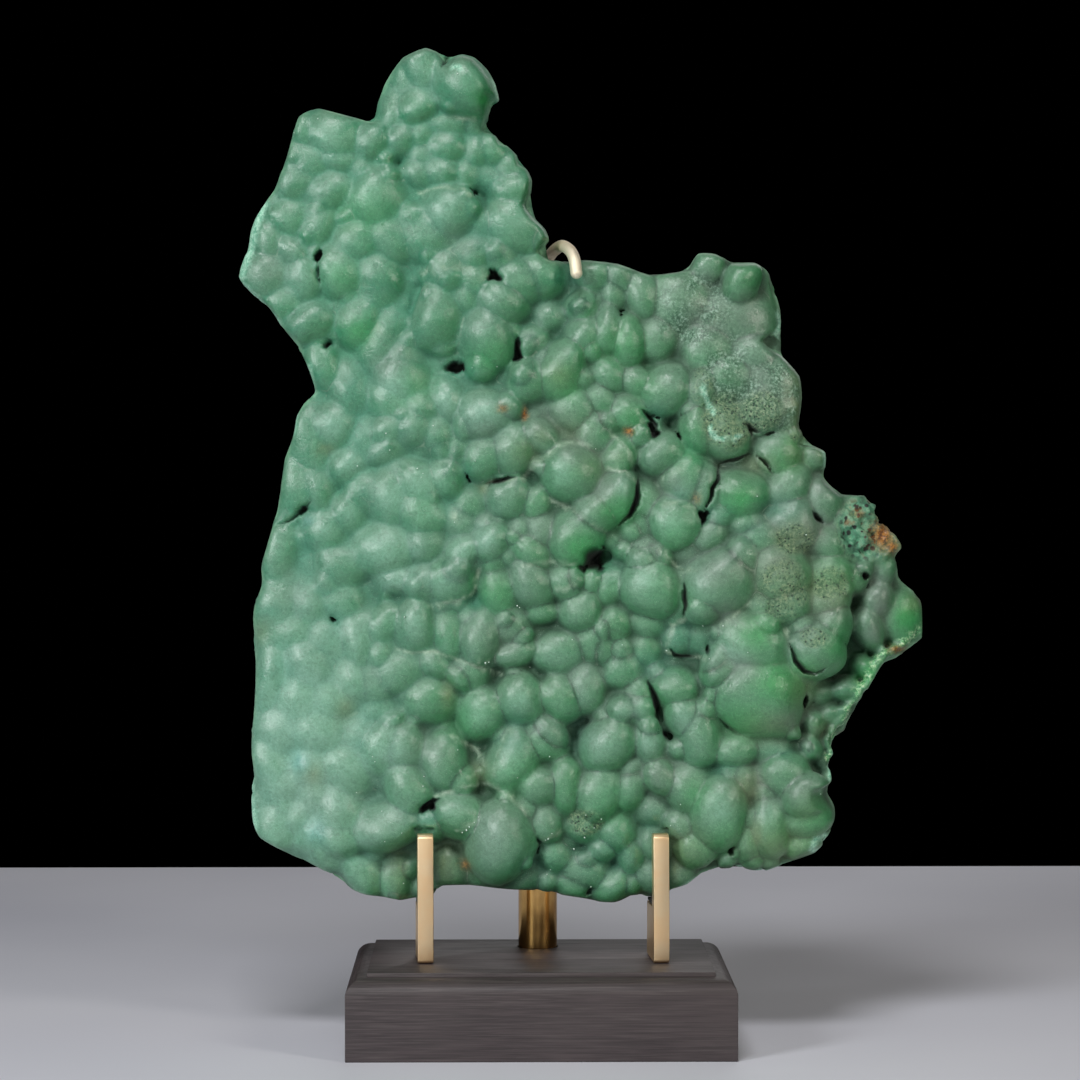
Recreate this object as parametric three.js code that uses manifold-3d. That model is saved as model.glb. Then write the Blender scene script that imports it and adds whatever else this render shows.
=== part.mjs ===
import * as THREE from 'three';
import { ConvexHull } from 'three/addons/math/ConvexHull.js';
import { mergeVertices } from 'three/addons/utils/BufferGeometryUtils.js';
import Module from 'manifold-3d';

// Botryoidal malachite slab standing on a turned-edge wooden base, held by two brass feet and a hooked rod.
// Millimetres. +Z up, -Y towards the viewer, origin at the centre of the base's underside.

const wasm = await Module();
wasm.setup();

// Sizes of the base
const BASE_WIDTH = 152.4;
const BASE_DEPTH = 101.6;
const BASE_HEIGHT = 33.5;
const MOULDING_INSET = 8.2;
const MOULDING_HEIGHT = 6.4;
const STEP_HEIGHT = 1.5;

// Sizes of the brass work
const FIT_GAP = 0.3;
const POST_RADIUS = 7.95;
const POST_X = -0.7;
const POST_Y = 25;
const POST_TOP = 112;
const POST_SOCKET_DEPTH = 12;
const ROD_RADIUS = 2.38;
const ROD_SOCKET_DEPTH = 24;
const HOOK_TIP = new THREE.Vector3(14.2, -16, 307.5);
const BAR_WIDTH = 6.35;
const PRONG_THICKNESS = 6.35;
const BRACKET_FRONT = -21.7;
const BRACKET_BACK = 3.3;
const BRACKET_TOP = 84.8;
const PRONG_LEAN = 1.8;
const LEDGE_Z = 55.5;
const LEFT_BRACKET_X = -46.4;
const RIGHT_BRACKET_X = 47.2;
const BRACKET_YAW = 3.5 * Math.PI / 180;
const PIN_RADIUS = 2;
const PIN_LENGTH = 10;
const PAD_THICKNESS = 1.2;
const STONE_FOOT_Z = LEDGE_Z + PAD_THICKNESS + 2 * FIT_GAP;

// Depths of the stone's plate, and how it thins towards its rim
const PLATE_FRONT = 6;
const PLATE_BACK = 8;
const FLAP_FRONT = 1;
const FLAP_BACK = 9;
const RIM_WIDTH = 9;
const RIM_FRONT = 2.5;
const RIM_BACK = 2;
const FIELD = { left: -132, right: 156, bottom: 45, top: 408 };

// Helpers that turn shapes into solids and back
function solid(geometry) {
  const bare = geometry.clone();
  bare.deleteAttribute('normal');
  bare.deleteAttribute('uv');
  const welded = mergeVertices(bare, 1e-4);
  const mesh = new wasm.Mesh({
    numProp: 3,
    vertProperties: new Float32Array(welded.attributes.position.array),
    triVerts: new Uint32Array(welded.index.array),
  });
  return new wasm.Manifold(mesh);
}

function joined(solids) {
  return solids.reduce((sum, next) => sum.add(next));
}

function piece(name, shape, material) {
  const mesh = shape.getMesh();
  const geometry = new THREE.BufferGeometry();
  geometry.setAttribute('position', new THREE.BufferAttribute(Float32Array.from(mesh.vertProperties), 3));
  geometry.setIndex(new THREE.BufferAttribute(Uint32Array.from(mesh.triVerts), 1));
  geometry.computeVertexNormals();
  const node = new THREE.Mesh(geometry, material);
  node.name = name;
  return node;
}

function box(x0, x1, y0, y1, z0, z1) {
  const geometry = new THREE.BoxGeometry(x1 - x0, y1 - y0, z1 - z0);
  geometry.translate((x0 + x1) / 2, (y0 + y1) / 2, (z0 + z1) / 2);
  return solid(geometry);
}

function rod(x, y, z0, z1, radius, sides = 40) {
  const geometry = new THREE.CylinderGeometry(radius, radius, z1 - z0, sides);
  geometry.rotateX(Math.PI / 2);
  geometry.translate(x, y, (z0 + z1) / 2);
  return solid(geometry);
}

function outlineShape(points) {
  return new THREE.Shape(points.map(([x, y]) => new THREE.Vector2(x, y)));
}

// Slab seen from the front, with both rims bevelled
function slab(outline, front, back, bevelSize, bevelDepth) {
  const depth = front + back - 2 * bevelDepth;
  const geometry = new THREE.ExtrudeGeometry(outlineShape(outline), {
    depth,
    bevelEnabled: bevelSize > 0,
    bevelSize,
    bevelOffset: -bevelSize,
    bevelThickness: bevelDepth,
    bevelSegments: 1,
  });
  geometry.rotateX(Math.PI / 2);
  geometry.translate(0, back - bevelDepth, 0);
  return solid(geometry);
}

// Stone: outline of the main mass, clockwise from its lower left corner
const mainOutline = [
  [-112.5, 81.5], [-115.5, 87], [-116.4, 94], [-116, 102], [-115, 106], [-116.3, 120], [-115, 133],
  [-114.3, 148], [-115.4, 168], [-114.8, 175], [-111.5, 184], [-112.2, 190], [-107.3, 207], [-104.7, 217],
  [-102.5, 233], [-99, 243], [-97.5, 251], [-94.5, 256], [-90.2, 260.5], [-92.4, 269], [-97, 279],
  [-104, 287.5], [-108, 294], [-115, 300], [-120.8, 306.5], [-117, 318], [-115, 328], [-111, 335],
  [-106, 342], [-101.5, 354], [-99, 363], [-96.5, 370.5], [-90, 374], [-81, 372], [-71.5, 369.5],
  [-66.5, 368.5], [-65, 376], [-61.5, 385], [-55, 394], [-46, 398], [-39.5, 394.5], [-31, 394],
  [-21, 390], [-17.5, 382], [-19.5, 374], [-22, 366], [-14.5, 359.5], [-8, 352], [-3.5, 344],
  [-4.3, 334.5], [1, 328], [3.5, 321], [2, 316.5], [5, 313], [17, 313.5], [31, 312], [44, 307.5],
  [59, 309.5], [63, 316], [70, 316], [77, 312.5], [86, 312.5], [92, 308.5], [96.5, 294], [96.5, 286],
  [91.5, 281], [96.5, 275.5], [104, 267], [105, 258], [103.6, 247], [105.3, 243.5], [103.8, 240],
  [110, 239], [114.5, 236.5], [114.5, 230], [113.5, 226.5], [121, 219.5], [130, 219], [133.5, 214],
  [136, 209], [142.5, 203], [144.8, 198.5], [141, 193], [131, 191], [128, 180], [123.5, 164],
  [120, 155], [112, 148], [107, 140], [106, 130], [109, 121], [116, 115.5], [115.5, 110], [116.4, 104.5],
  [115.3, 100], [118.5, 94], [118.7, 88], [116.2, 81.5], [110.5, 75.5], [102, 72.3], [94, 69.3],
  [88, 67.3], [81, 69], [72, 69], [65, 67.3], [59, 62.7], [51.8, 60.3], [50.8, STONE_FOOT_Z],
  [43.3, STONE_FOOT_Z], [37, 57.6], [30, 55.4], [24, 55.6], [18, 57], [8, 58.6], [-2, 60.3],
  [-14, 60.8], [-28, 62.5], [-41.5, 62], [-43, STONE_FOOT_Z], [-50, STONE_FOOT_Z], [-56, 56.4],
  [-62, 57.6], [-70, 58.6], [-76.5, 60.8], [-79.5, 63.6], [-91, 70.5], [-98, 73.2],
];

// Stone: outline of the thin flap set deeper at the right
const flapOutline = [
  [100, 125], [104, 150], [112, 175], [120, 198], [131, 198], [141, 194], [143.5, 184], [149, 179],
  [152.3, 174], [153.5, 167], [153.8, 164.5], [148, 159], [141.5, 154.5], [136, 152], [131.5, 146],
  [128, 138], [124.5, 131], [121.5, 124.5], [118.5, 121], [116, 113], [108, 112],
];

// Broad swells under the lumps: centre x, centre z, half width, half height, how far the top stands forward
const swells = [
  [60, 225, 62, 62, 13.5], [70, 160, 62, 55, 16], [92, 165, 38, 45, 18.5], [100, 95, 24, 28, 16.5],
  [0, 100, 70, 44, 11.5], [72, 95, 26, 30, 14.5], [-10, 190, 62, 80, 12.5], [-20, 275, 48, 50, 12.5],
  [-60, 115, 40, 45, 10.5], [-70, 315, 45, 50, 9.5], [-35, 365, 32, 32, 10], [118, 200, 20, 26, 11],
];

// Lumps, by region: centre x, centre z, half width, half height, how far the top stands forward
const crownLumps = [
  [-46.5, 387.5, 10, 10, 14], [-52, 378, 10, 10, 13], [-29.5, 382, 11.5, 11.5, 16], [-38.5, 366, 7.5, 7, 14],
  [-27.5, 358, 6, 6, 12.5], [-53, 358.5, 6.5, 6.5, 12], [-41, 353, 8, 7, 13], [-58, 345, 6, 6, 11.5],
  [-18, 356.5, 6.5, 6.5, 11], [-21, 346, 6, 6, 10], [-10.5, 339, 8, 8.5, 13], [-8.5, 348, 5.5, 5.5, 10.5],
];
const upperLeftLumps = [
  [-93, 365, 7.5, 8, 11], [-83, 361.5, 8.5, 9.5, 12], [-69.5, 358, 7, 7.5, 11], [-88, 347, 7, 6.5, 11],
  [-99, 345, 6, 7, 10], [-84.5, 338, 9.5, 9, 12.5], [-67.5, 338, 10.5, 10, 14], [-98, 330.5, 7, 6.5, 10.5],
  [-85, 324, 6, 6, 11.5], [-73.5, 322, 8.5, 8.5, 13], [-61, 327, 8.5, 9.5, 14], [-99, 318, 6.5, 6, 10],
  [-108.5, 318, 6, 7, 8.5], [-108.5, 307.5, 7.5, 7.5, 9], [-95.5, 305, 7.5, 9, 10.5],
  [-82, 306, 9, 10, 12.5], [-66, 307.5, 8.5, 8, 12.5], [-92.5, 288, 8.5, 8, 10.5],
  [-73, 287.5, 8.5, 9, 11.5], [-60.5, 285, 7.5, 9.5, 12], [-86, 271, 6, 8, 9], [-54, 266, 10, 9.5, 14],
];
const upperCentreLumps = [
  [-38.5, 331.5, 10, 11, 17], [-51, 323, 8, 8.5, 14.5], [-9, 326, 11, 11, 16], [-24, 326, 6.5, 7, 12],
  [-26, 314.5, 6.5, 6.5, 14], [-37.5, 310, 7, 9, 14.5], [-16, 313.5, 6, 6, 13.5], [-10, 303, 9, 9, 15],
  [-26, 303.5, 6.5, 6, 14], [-41.3, 291.5, 7.5, 10.5, 16], [-17.5, 293.5, 9.5, 9.5, 16.5],
  [-30, 295, 5.5, 6, 13.5], [-25.5, 279.5, 10, 10, 17], [-13.5, 280.5, 6, 7, 15], [-3.5, 281, 5.5, 6, 13.5],
  [3, 291, 6, 6, 11],
];
const underHookLumps = [
  [21.5, 306.5, 6.5, 6.5, 11.5], [31.5, 305.5, 6.5, 6.5, 12], [30, 296.5, 7, 6.5, 13], [41.5, 299, 7.5, 8, 13],
  [15, 294, 5.5, 6, 12.5], [28, 284, 6.5, 8.5, 13.5], [37, 281.5, 6.5, 7, 13.5], [45.5, 281, 5.5, 7, 13.5],
  [18.5, 280, 7, 7, 14], [9, 267.5, 8.5, 11.5, 17.5], [-4, 265.5, 8.5, 9, 16], [28.5, 266.5, 7, 7, 15],
  [24.5, 256.5, 6, 6.5, 15], [38.5, 265.5, 6, 6, 15], [49.5, 261.5, 9.5, 10.5, 18], [35, 252.5, 7, 7, 16.5],
  [13.5, 253, 10, 7.5, 16], [41, 245, 7.5, 6, 16],
];
const topRightLumps = [
  [66, 310, 7, 6.5, 11.5], [77, 305.5, 7, 7, 12], [84, 302.5, 8.5, 9.5, 13], [89.5, 291.5, 7.5, 8.5, 11],
  [54, 299.5, 8.5, 9, 13], [67.5, 296, 8.5, 9.5, 13.5], [58, 283.5, 8, 9.5, 14], [72.5, 280.5, 9.5, 9.5, 14],
  [85, 272, 9, 9.5, 13.5], [95.5, 264, 9.5, 10, 12.5], [75.5, 264, 9, 9, 16], [90, 253, 11, 9.5, 17],
  [97, 252, 8, 8, 14], [65, 260, 7.5, 8, 16], [73, 245, 11, 10.5, 19], [63, 245, 7.5, 9, 18.5],
];
const leftLumps = [
  [-82, 248, 8, 8, 10.5], [-91, 240, 8, 13, 9], [-76, 232.5, 7, 7, 11], [-97, 223, 8, 14, 8.5],
  [-76, 212.5, 6, 6.5, 10.5], [-86, 205, 8, 8, 10], [-104.5, 197, 7.5, 10, 8.5], [-80, 191, 8, 7.5, 10.5],
  [-92, 175, 7, 7.5, 10], [-105, 176, 8.5, 11, 9], [-79, 176.5, 6.5, 6, 10.5], [-100, 163, 10, 9, 9.5],
  [-85, 160.5, 9, 8, 10], [-93, 149.5, 9, 8, 11], [-108, 146, 6.5, 12, 8.5], [-95, 136.5, 9.5, 8.5, 11],
  [-83, 138, 9, 7.5, 11.5], [-87, 125, 10.5, 9.5, 12], [-102, 126.5, 9, 9, 10], [-108.5, 113, 7.5, 11, 9],
  [-92.5, 109, 8, 8, 11], [-104.5, 102, 8.5, 7.5, 9.5], [-104, 87, 8.5, 9, 10], [-92, 97.5, 6, 6, 10.5],
  [-89.5, 83, 7.5, 7.5, 11.5], [-80.5, 92, 9, 9, 13.5], [-79, 82, 7.5, 7.5, 14], [-78, 109, 10, 10, 12.5],
  [-86, 70.5, 6.5, 4.5, 8.5], [-70.5, 67, 8, 7.5, 10.5], [-57.5, 65.5, 6, 8, 10],
];
const middleLeftLumps = [
  [-61.5, 244.5, 7, 7, 12.5], [-51.5, 246.5, 7, 8, 13.5], [-48.5, 254.5, 5.5, 5, 14], [-37, 257, 6.5, 8, 14.5],
  [-42, 244, 6.5, 6.5, 14], [-61, 235, 7, 6, 12], [-59, 217.5, 9, 8.5, 13.5], [-69.5, 220, 6.5, 7, 11.5],
  [-37, 228.5, 7, 7.5, 14.5], [-48, 223, 8, 8, 15], [-46, 212, 8.5, 7, 15], [-28, 217, 6, 7, 13],
  [-62, 198, 11.5, 9.5, 14], [-45, 201, 7.5, 7.5, 14.5], [-57, 186, 8.5, 6.5, 13], [-46.5, 184, 7, 7, 15],
  [-36, 185.5, 8.5, 8.5, 16.5], [-49, 167, 7.5, 10.5, 15.5], [-36, 165, 6, 10.5, 14.5],
  [-71.5, 163, 8, 10.5, 12], [-61.5, 167.5, 5.5, 6.5, 12.5], [-56, 148.5, 9, 8, 13], [-74.5, 147.5, 8.5, 8, 12],
  [-42, 151, 6, 6, 13.5], [-46, 136, 10, 8.5, 14], [-66.5, 134, 7, 7, 11.5], [-33, 147, 5.5, 5.5, 14.5],
];
const centreLumps = [
  [-22, 251.5, 9.5, 9.5, 18], [-14, 254.5, 6, 6, 16.5], [-29, 248, 5.5, 6, 16], [-21.5, 235, 7.5, 8, 15.5],
  [-11.5, 236.5, 7.5, 9, 16.5], [-1, 242.5, 7, 6.5, 16.5], [-13, 217.5, 8.5, 8, 16.5], [-1, 215.5, 5.5, 6.5, 15.5],
  [1.5, 206.5, 7, 7, 16], [-7.5, 206, 5, 5.5, 14.5], [12.5, 229, 12, 12, 21], [30, 219, 9.5, 11, 21.5],
  [22, 212, 8, 9, 20.5], [31, 235, 7, 7.5, 18], [15, 203.5, 10.5, 10.5, 20], [48.5, 235, 8.5, 8.5, 19],
  [57.5, 226, 9, 10, 18.5], [65, 222, 6.5, 10, 18], [53.5, 208.5, 9.5, 9.5, 20.5], [41, 209, 6.5, 14, 15.5],
  [59, 198.5, 8, 7.5, 17], [66.5, 203.5, 7.5, 7, 18], [79, 220, 10.5, 10, 20.5], [71, 211.5, 6, 5.5, 17],
  [82, 207, 8, 6.5, 18], [-31, 197, 6, 6.5, 16], [-20, 199.5, 8, 9, 17.5], [-3, 197, 7.5, 7, 16.5],
  [-18, 189, 6, 5.5, 14], [-16.5, 181, 7.5, 7.5, 15.5], [-3.5, 184.5, 8, 8.5, 17.5], [10, 187, 7.5, 6.5, 16.5],
  [-24, 163.5, 7, 10.5, 17], [-12.5, 168.5, 6.5, 7.5, 14.5], [-9.5, 156, 7.5, 6, 14.5], [0, 174, 6.5, 6.5, 14],
  [29, 182, 7, 8, 15], [15, 174, 9, 11, 17], [45, 182.5, 11.5, 11.5, 22], [30, 167, 7, 7, 16],
  [43, 168.5, 7, 6, 15.5], [54, 173, 6, 7, 15.5], [8, 155.5, 11, 8, 15], [43, 158, 6, 6, 14.5],
  [34, 150, 8.5, 8, 15.5], [25, 158, 6, 6, 14.5],
];
const rightLumps = [
  [94.5, 235.5, 9, 9, 16], [109, 233.5, 5.5, 6, 11], [98.5, 222, 9.5, 8.5, 16.5], [113, 216, 7.5, 8, 15],
  [101, 207.5, 11, 11, 19], [88, 200.5, 9.5, 9.5, 19], [114, 201.5, 8.5, 7.5, 15.5], [72, 184.5, 14, 13.5, 25],
  [65, 174.5, 7.5, 6.5, 22], [79, 192, 9, 9, 22], [95, 187, 12, 12, 22.5], [99, 177, 9, 8, 22],
  [115.5, 187.5, 9, 8.5, 18], [124.5, 186.5, 6, 7.5, 14], [114.5, 176.5, 9, 8.5, 20], [55, 163, 5.5, 6.5, 12.5],
  [62.5, 162.5, 5.5, 7.5, 13], [85.5, 159, 14.5, 13.5, 27], [88, 139, 16.5, 14, 28], [108.5, 158, 10.5, 10.5, 24],
  [115.5, 167, 8.5, 9, 21], [71, 148, 7, 7, 19], [54, 143.5, 8.5, 8.5, 19.5], [57, 131, 6.5, 7.5, 20],
  [64, 123.5, 8.5, 10.5, 21.5], [106, 142, 5.5, 8, 15],
];
const lowerLumps = [
  [-24, 133.5, 9.5, 9, 15], [-7, 137, 9.5, 9.5, 17], [9, 139, 7.5, 7.5, 16], [19, 143, 7.5, 8.5, 15.5],
  [36, 134, 9, 7.5, 17], [40, 142, 6.5, 6.5, 16], [-54, 116.5, 8, 7.5, 15], [-62, 118, 9, 10, 14.5],
  [-37, 113, 8.5, 11, 16], [-30, 107.5, 6.5, 7, 15], [-52.5, 102, 9, 10, 16.5], [-62, 88, 11, 9.5, 16.5],
  [-33.5, 91.5, 11, 10, 18], [-11.5, 112.5, 9, 13, 18], [-1, 101, 6.5, 6.5, 16.5], [-16, 81.5, 13, 13.5, 23],
  [2, 88, 6.5, 6.5, 15.5], [3.5, 125, 6.5, 7, 15.5], [10.5, 104, 7.5, 11, 17], [-35, 70, 8, 8.5, 10],
  [-6, 66, 7, 6, 10.5], [6, 76, 7, 8, 11.5], [13, 64, 6, 6, 10.5], [26.5, 119.5, 10, 11, 19.5],
  [43, 119, 6.5, 8, 18.5], [24, 101.5, 8, 10.5, 18], [36.5, 102, 5.5, 8, 16], [18, 88.5, 7.5, 6.5, 13.5],
  [48, 107, 7, 6.5, 19], [59, 104, 9, 9.5, 19.5], [46, 93, 7, 6.5, 14], [31, 84, 8, 8.5, 13.5],
  [36, 74, 6.5, 8, 11.5], [28, 62.5, 9, 7, 10.5], [71, 93, 10.5, 14, 25], [56, 88, 6.5, 6.5, 18],
  [62, 80.5, 8, 8.5, 19], [56.5, 68.5, 6, 6.5, 12], [78, 118, 8.5, 6.5, 20], [80, 104, 7, 7.5, 19],
  [97, 107, 10.5, 10, 23], [106, 99.5, 9.5, 9.5, 26], [107.5, 91.5, 11, 9, 23], [92, 86, 8.5, 14, 23.5],
  [83, 82, 6.5, 11, 20], [105, 80, 7, 5.5, 17],
];
const deepLumps = [
  [136, 186, 6, 8, 5], [134, 172, 8, 11, 7], [134, 160, 8, 6, 6.5], [146, 171, 7, 8, 4], [122, 142, 6, 7, 6],
  [114, 135, 8, 9, 7], [109, 119, 7, 7, 13], [127, 212, 7.5, 7.5, 10], [126, 202, 8, 8, 11], [136, 203, 7, 6, 8],
];

// Rough, broad humps on the back: centre x, centre z, half width, half height, how far they stand back
const backHumps = [
  [-80, 110, 34, 34, 13], [-20, 95, 40, 30, 14], [55, 100, 42, 30, 13.5], [-70, 190, 36, 44, 13.5],
  [0, 175, 40, 44, 15], [75, 165, 38, 40, 14], [-75, 300, 34, 32, 13], [-20, 275, 38, 40, 14.5],
  [55, 255, 42, 42, 14], [-45, 350, 26, 36, 13],
];

// Dark pits between the lumps: centre x, centre z, half width, half height
const pits = [
  [-88.5, 314, 2, 3], [-84.5, 276, 2, 5.5], [-33.5, 270.5, 3, 2], [-8.8, 277, 2, 5], [-19, 306, 2, 2],
  [20.5, 195, 4.5, 5.5], [45.5, 247, 2, 4], [55.5, 246, 1.6, 4], [-28, 227.5, 1.8, 2.6], [68.5, 221, 1.6, 9],
  [46.5, 137, 1.8, 8], [-45, 95, 4.5, 2.6], [98, 121, 5, 3.5], [88, 246, 4, 2.6], [75.5, 76.5, 3, 3],
];

const allLumps = [
  ...crownLumps, ...upperLeftLumps, ...upperCentreLumps, ...underHookLumps, ...topRightLumps, ...leftLumps,
  ...middleLeftLumps, ...centreLumps, ...rightLumps, ...lowerLumps,
];

// Height of a rounded lump over a point of the plate, or nothing outside the lump
function lumpHeight([x, z, halfWidth, halfHeight, front], px, pz) {
  const reach = 1 - ((px - x) / halfWidth) ** 2 - ((pz - z) / halfHeight) ** 2;
  if (reach <= 0) {
    return 0;
  }
  const depth = Math.min(front, (halfWidth + halfHeight) / 2);
  return front - depth + depth * Math.sqrt(reach);
}

function swellHeight([x, z, halfWidth, halfHeight, front], px, pz) {
  return front * Math.sqrt(Math.max(0, 1 - ((px - x) / halfWidth) ** 2 - ((pz - z) / halfHeight) ** 2));
}

function distanceToOutline(px, pz) {
  let nearest = Infinity;
  mainOutline.forEach(([x0, z0], i) => {
    const [x1, z1] = mainOutline[(i + 1) % mainOutline.length];
    const along = ((px - x0) * (x1 - x0) + (pz - z0) * (z1 - z0)) / ((x1 - x0) ** 2 + (z1 - z0) ** 2);
    const t = THREE.MathUtils.clamp(along, 0, 1);
    nearest = Math.min(nearest, Math.hypot(px - x0 - t * (x1 - x0), pz - z0 - t * (z1 - z0)));
  });
  return nearest;
}

// Share of its full depth that the stone keeps near its rim, falling off in a quarter round
function rimShare(px, pz) {
  const inwards = Math.min(distanceToOutline(px, pz) / RIM_WIDTH, 1);
  return Math.sqrt(1 - (1 - inwards) ** 2);
}

function inPit(px, pz) {
  return pits.some(([x, z, halfWidth, halfHeight]) => ((px - x) / halfWidth) ** 2 + ((pz - z) / halfHeight) ** 2 < 1);
}

function bareHeight(px, pz) {
  const raised = Math.max(PLATE_FRONT, ...swells.map((one) => swellHeight(one, px, pz)));
  return Math.max(raised, ...allLumps.map((one) => lumpHeight(one, px, pz)));
}

function frontHeight(px, pz) {
  const height = inPit(px, pz) ? 3 : bareHeight(px, pz);
  return RIM_FRONT + (height - RIM_FRONT) * rimShare(px, pz);
}

function backHeight(px, pz) {
  const height = Math.max(PLATE_BACK, ...backHumps.map((one) => swellHeight(one, px, pz)));
  return RIM_BACK + (height - RIM_BACK) * rimShare(px, pz);
}

// Places where the front is measured: each lump's top, its half-way ring and the crease round its foot
function frontPoints() {
  const points = [];
  const place = (x, z, spacing) => {
    const crowded = points.some(([px, pz]) => Math.hypot(px - x, pz - z) < spacing);
    if (!crowded) {
      points.push([x, z]);
    }
  };
  const stands = (one, x, z) => lumpHeight(one, x, z) > bareHeight(x, z) - 0.01;
  for (const one of allLumps) {
    if (stands(one, one[0], one[1])) {
      place(one[0], one[1], 3);
    }
  }
  for (const one of [...allLumps, ...pits]) {
    const spokes = 10;
    for (let spoke = 0; spoke < spokes; spoke += 1) {
      const angle = (spoke + one[0]) * 2 * Math.PI / spokes;
      const at = (share) => [one[0] + share * one[2] * Math.cos(angle), one[1] + share * one[3] * Math.sin(angle)];
      if (one.length === 4) {
        place(...at(0.8), 1.2);
        place(...at(1.15), 1.6);
        continue;
      }
      let foot = 0.3;
      while (foot < 0.97 && stands(one, ...at(foot))) {
        foot += 0.02;
      }
      if (foot > 0.34) {
        place(...at(foot), 2.9);
        place(...at(foot * 0.62), 3.5);
      }
    }
  }
  for (let x = FIELD.left + 4; x < FIELD.right; x += 7) {
    for (let z = FIELD.bottom + 4; z < FIELD.top; z += 7) {
      place(x + 2 * Math.sin(3 * z), z + 2 * Math.sin(5 * x), 5);
    }
  }
  return points.filter(([x, z]) => distanceToOutline(x, z) < 8 || insideOutline(x, z));
}

function backPoints() {
  const points = [];
  for (let x = FIELD.left + 6; x < FIELD.right; x += 16) {
    for (let z = FIELD.bottom + 6; z < FIELD.top; z += 16) {
      points.push([x + 4 * Math.sin(3 * z), z + 4 * Math.sin(5 * x)]);
    }
  }
  return points.filter(([x, z]) => distanceToOutline(x, z) < 14 || insideOutline(x, z));
}

function insideOutline(px, pz) {
  let inside = false;
  mainOutline.forEach(([x0, z0], i) => {
    const [x1, z1] = mainOutline[(i + 1) % mainOutline.length];
    if ((z0 > pz) !== (z1 > pz) && px < x0 + (pz - z0) * (x1 - x0) / (z1 - z0)) {
      inside = !inside;
    }
  });
  return inside;
}

// Nets scattered points into triangles: the underside of their hull once they are lifted onto a bowl
function netTogether(points) {
  const lifted = points.map(([x, z]) => new THREE.Vector3(x, z, (x * x + (z - 200) ** 2) / 300));
  const order = new Map(lifted.map((point, i) => [point, i]));
  const triangles = [];
  for (const face of new ConvexHull().setFromPoints(lifted).faces) {
    if (face.normal.z < -1e-7) {
      const [a, b, c] = [face.edge, face.edge.next, face.edge.prev].map((edge) => order.get(edge.head().point));
      triangles.push(a, c, b);
    }
  }
  return triangles;
}

// Solid block with one rough side: the rough side stands at `height` on the side that `facing` gives
function roughBlock(points, height, facing, flatY) {
  const { left, right, bottom, top } = FIELD;
  const border = [[left, bottom], [right, bottom], [right, top], [left, top]];
  const all = [...border, ...points];
  const vertices = all.map(([x, z]) => new THREE.Vector3(x, facing * height(x, z), z));
  const flat = border.map(([x, z]) => new THREE.Vector3(x, flatY, z));
  const count = all.length;
  const index = netTogether(all);
  border.forEach((_, i) => {
    const j = (i + 1) % border.length;
    index.push(i, count + i, count + j, i, count + j, j);
  });
  index.push(count, count + 2, count + 1, count, count + 3, count + 2);
  if (facing > 0) {
    index.reverse();
  }
  const geometry = new THREE.BufferGeometry().setFromPoints([...vertices, ...flat]);
  geometry.setIndex(index);
  return solid(geometry);
}

// A faceted ball for what stands free of the plate: deep lumps beside the flap
function ball([x, z, halfWidth, halfHeight, front], detail = 1) {
  const depth = (front + FLAP_BACK - 2) / 2;
  const geometry = new THREE.IcosahedronGeometry(1, detail);
  geometry.rotateY(x + 2 * z);
  geometry.scale(halfWidth, depth, halfHeight);
  geometry.translate(x, depth - front, z);
  return solid(geometry);
}

// Broken rim of the flap, a ridge that curls forward
function flapRim() {
  const path = new THREE.CatmullRomCurve3([
    new THREE.Vector3(152.5, -2, 165), new THREE.Vector3(146, -4, 158.5), new THREE.Vector3(138, -6, 154),
    new THREE.Vector3(130, -8, 149), new THREE.Vector3(126, -8, 140), new THREE.Vector3(122, -7, 131),
    new THREE.Vector3(118, -6, 122), new THREE.Vector3(115, -8, 113),
  ]);
  const profile = outlineShape([[-3, -1.6], [3, -1.6], [3.6, 0.8], [-1, 2], [-3.6, 0.6]]);
  return solid(new THREE.ExtrudeGeometry(profile, { steps: 16, extrudePath: path }));
}

// Space kept clear for each foot and its liner, with the liner's 0.3 mm gap
function footClearance(x) {
  const side = BAR_WIDTH / 2 + FIT_GAP;
  const reach = PRONG_THICKNESS + PAD_THICKNESS + 2 * FIT_GAP;
  const front = bracketBar(x, [
    [BRACKET_FRONT - 30, LEDGE_Z - 20], [BRACKET_FRONT - 30, BRACKET_TOP + 2],
    [BRACKET_FRONT + PRONG_LEAN + reach, BRACKET_TOP + 2], [BRACKET_FRONT + reach, STONE_FOOT_Z],
    [BRACKET_BACK + 20, STONE_FOOT_Z], [BRACKET_BACK + 20, LEDGE_Z - 20],
  ], side);
  return front;
}

function malachite() {
  const prism = slab(mainOutline, 60, 40, 0, 0);
  const front = roughBlock(frontPoints(), frontHeight, -1, 2).intersect(prism);
  const back = roughBlock(backPoints(), backHeight, 1, -1).intersect(prism);
  const flap = slab(flapOutline, FLAP_FRONT, FLAP_BACK, 2, 3);
  const deep = joined(deepLumps.map((one) => ball(one)));
  const feet = joined([footClearance(LEFT_BRACKET_X), footClearance(RIGHT_BRACKET_X)]);
  const shape = joined([front, back, flap, flapRim(), deep]).subtract(feet);
  return piece('malachite', shape, new THREE.MeshStandardMaterial({
    color: 0x5f9c7c,
    roughness: 0.5,
    metalness: 0,
  }));
}

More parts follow.
